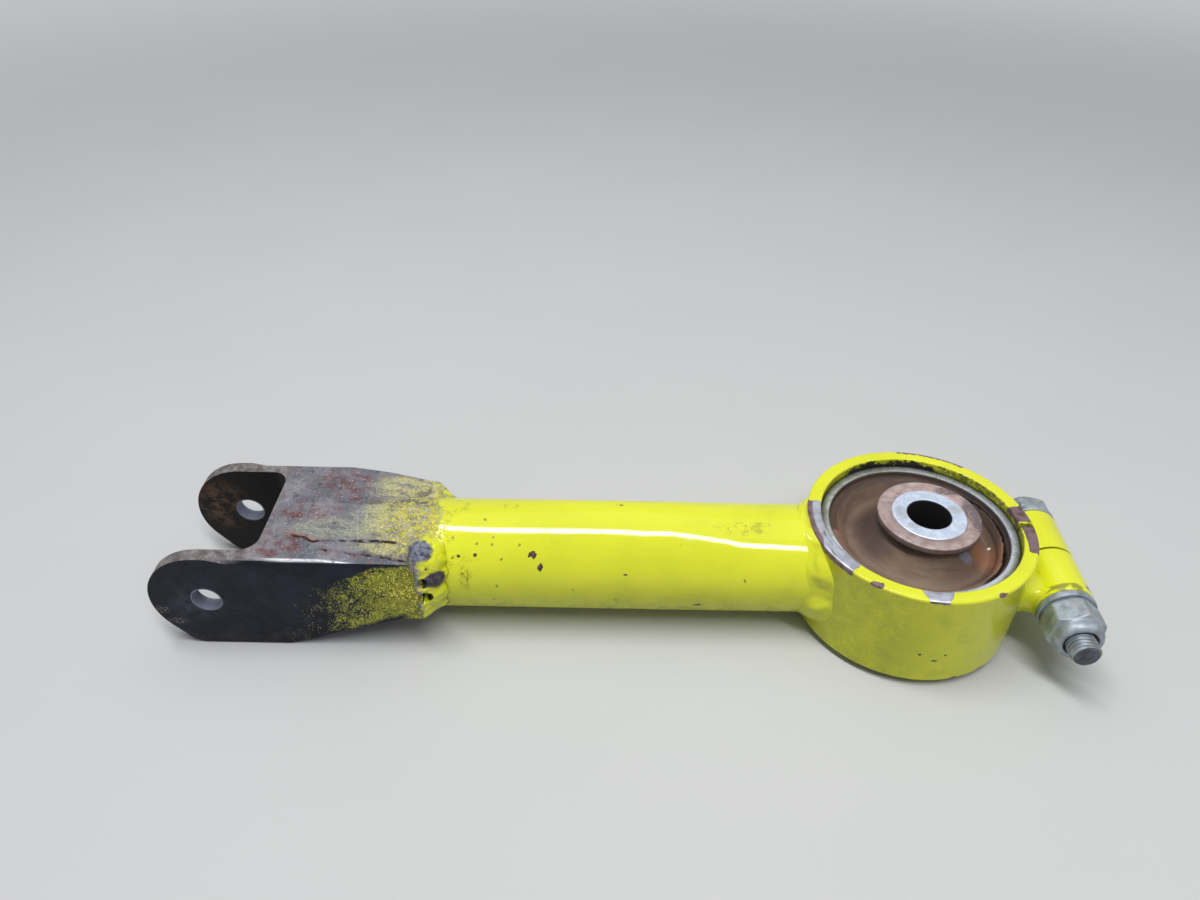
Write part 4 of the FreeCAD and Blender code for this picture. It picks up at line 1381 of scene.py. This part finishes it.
def droplet_tree():
    """Flattened drops scattered over the faces, denser where the painted weight is higher."""
    sizes = [("Density", "Float", 1000000.0), ("Smallest", "Float", 0.0001), ("Largest", "Float", 0.0003)]
    tree, start, end = node_tree("overspray_droplets", sizes + [("Seed", "Int", 7), ("Finish", "Material", None)])
    given = start.outputs
    faces = {"Mesh": given["Geometry"], "Density": given["Density"], "Seed": given["Seed"]}
    points = add(tree, "DistributePointsOnFaces", faces)
    place = add(tree, "InputPosition", {})
    axis = add(tree, "SeparateXYZ", {0: place.outputs[0]}, "ShaderNode")
    facing = add(tree, "SeparateXYZ", {0: points.outputs["Normal"]}, "ShaderNode")
    x, y, z = axis.outputs

    def calc(operation, *values):
        return add(tree, "Math", dict(enumerate(values)), "ShaderNode", operation=operation).outputs[0]

    def ramp(value, low, high):
        return add(tree, "MapRange", {"Value": value, "From Min": low, "From Max": high}, "ShaderNode").outputs[0]

    upper = calc("MINIMUM", calc("MULTIPLY_ADD", x, 0.37, 0.04995), 0.0042)
    band = ramp(calc("SUBTRACT", z, upper), 0.0056, 0.0044)
    left = ramp(calc("MULTIPLY_ADD", z, -0.49, x), -0.141, -0.120)
    lower = ramp(calc("MULTIPLY_ADD", x, -0.43, calc("ADD", z, -0.046)), 0.001, 0.003)
    outward = ramp(facing.outputs["Y"], -0.5, -0.9)
    near = calc("MULTIPLY", calc("MULTIPLY", band, left), calc("MULTIPLY", lower, outward))
    crown = ramp(calc("ABSOLUTE", calc("ADD", y, 0.0025)), 0.0095, 0.0065)
    top = calc("MULTIPLY", ramp(facing.outputs["Z"], 0.4, 0.8), ramp(z, 0.006, 0.007))
    top = calc("MULTIPLY", calc("MULTIPLY", top, ramp(x, -0.134, -0.117)), calc("MULTIPLY_ADD", crown, 0.8, 0.2))
    cloud = add(tree, "TexNoise", {"Scale": 260.0, "Detail": 3.0}, "ShaderNode")
    patch = ramp(cloud.outputs[0], 0.36, 0.6)
    weight = calc("MULTIPLY", calc("MULTIPLY", calc("MAXIMUM", near, top), patch), ramp(x, -0.107, -0.1115))
    chance = add(tree, "RandomValue", {"Seed": given["Seed"]}, "FunctionNode", data_type="FLOAT")
    kept = add(tree, "Compare", {0: chance.outputs[1], 1: weight}, "FunctionNode", operation="LESS_THAN")
    drop = add(tree, "MeshIcoSphere", {"Radius": 1.0, "Subdivisions": 1})
    flat = add(tree, "Transform", {"Geometry": drop.outputs[0], "Scale": (1.0, 1.0, 0.42)})
    span = {2: given["Smallest"], 3: given["Largest"], "Seed": given["Seed"]}
    size = add(tree, "RandomValue", span, "FunctionNode", data_type="FLOAT")
    spread = add(tree, "InstanceOnPoints", {
        "Points": points.outputs["Points"],
        "Selection": kept.outputs[0],
        "Instance": flat.outputs[0],
        "Rotation": points.outputs["Rotation"],
        "Scale": size.outputs[1],
    })
    real = add(tree, "RealizeInstances", {0: spread.outputs[0]})
    smooth = add(tree, "SetShadeSmooth", {0: real.outputs[0]})
    done = add(tree, "SetMaterial", {"Geometry": smooth.outputs[0], "Material": given["Finish"]})
    tree.links.new(done.outputs[0], end.inputs[0])
    return tree


def make_overspray():
    """The drops on the fork and on the strut's end."""
    both = bmesh.new()
    both.from_mesh(channel.data)
    both.from_mesh(strut.data)
    mesh = bpy.data.meshes.new("overspray_droplets")
    both.to_mesh(mesh)
    both.free()
    obj = linked("overspray_droplets", mesh)
    sizes = {"Density": 7000000.0, "Smallest": 0.08 * MM, "Largest": 0.32 * MM, "Seed": 7, "Finish": droplet}
    return dressed(grown(droplet_tree(), obj, sizes), "arm", ())


make_overspray()


# Floor, light and camera


def make_floor():
    """The floor, a hair under the core's lower end."""
    half = 1.1
    low = -(core_half + 0.02) * MM
    mesh = bpy.data.meshes.new("floor")
    corners = [(-half, -half, low), (half, -half, low), (half, half, low), (-half, half, low)]
    mesh.from_pydata(corners, [], [(0, 1, 2, 3)])
    mesh.materials.append(pale_floor())
    linked("floor", mesh)


def area_lamp(name, place, turn, length, width, power):
    """A flat lamp overhead that shines straight down, its length turned from X."""
    data = bpy.data.lights.new(name, "AREA")
    data.shape = "RECTANGLE"
    data.size = length
    data.size_y = width
    data.energy = power
    lamp = linked(name, data)
    lamp.location = place
    lamp.rotation_euler = (0, 0, math.radians(turn))


def set_world():
    """Soft even light, with a pale backdrop where the camera or a reflection looks past the floor."""
    world = bpy.data.worlds.new("studio")
    world.use_nodes = True
    tree = world.node_tree
    tree.nodes.clear()
    path = tree.nodes.new("ShaderNodeLightPath")
    shown = path.outputs["Is Camera Ray"]
    for ray in ("Is Glossy Ray", "Is Transmission Ray"):
        either = add(tree, "Math", {0: shown, 1: path.outputs[ray]}, "ShaderNode", operation="MAXIMUM")
        shown = either.outputs[0]
    plain = add(tree, "Background", {"Color": ROOM_LIGHT, "Strength": ROOM_STRENGTH}, "ShaderNode")
    pale = add(tree, "Background", {"Color": BACKDROP, "Strength": BACKDROP_STRENGTH}, "ShaderNode")
    mix = add(tree, "MixShader", {0: shown, 1: plain.outputs[0], 2: pale.outputs[0]}, "ShaderNode")
    out = tree.nodes.new("ShaderNodeOutputWorld")
    tree.links.new(mix.outputs[0], out.inputs["Surface"])
    bpy.context.scene.world = world


def set_camera():
    """The photograph's camera, solved from the ring's and the tube's outlines."""
    pitch, yaw, roll = 0.660203393, -0.007167002, 0.012740074
    forward = Vector((math.sin(yaw) * math.cos(pitch), math.cos(yaw) * math.cos(pitch), -math.sin(pitch)))
    level = Vector((math.cos(yaw), -math.sin(yaw), 0))
    upright = level.cross(forward)
    right = math.cos(roll) * level + math.sin(roll) * upright
    up = -math.sin(roll) * level + math.cos(roll) * upright
    place = Vector((-73.80, -150.16, 147.79)) * MM
    data = bpy.data.cameras.new("photo_camera")
    data.sensor_width = 36.0
    data.lens = 26.467
    data.clip_start = 0.01
    data.clip_end = 20.0
    camera = linked("photo_camera", data)
    matrix = Matrix((right, up, -forward)).transposed().to_4x4()
    matrix.translation = place
    camera.matrix_world = matrix
    bpy.context.scene.camera = camera


make_floor()
set_world()
set_camera()
area_lamp("ceiling_strip", (-0.04, -0.16, 0.70), turn=-47.6, length=0.80, width=0.08, power=4.4)
area_lamp("broad_softbox", (-0.10, 0.30, 0.85), turn=0, length=1.6, width=0.9, power=2.1)
bpy.context.scene.view_settings.view_transform = "Standard"
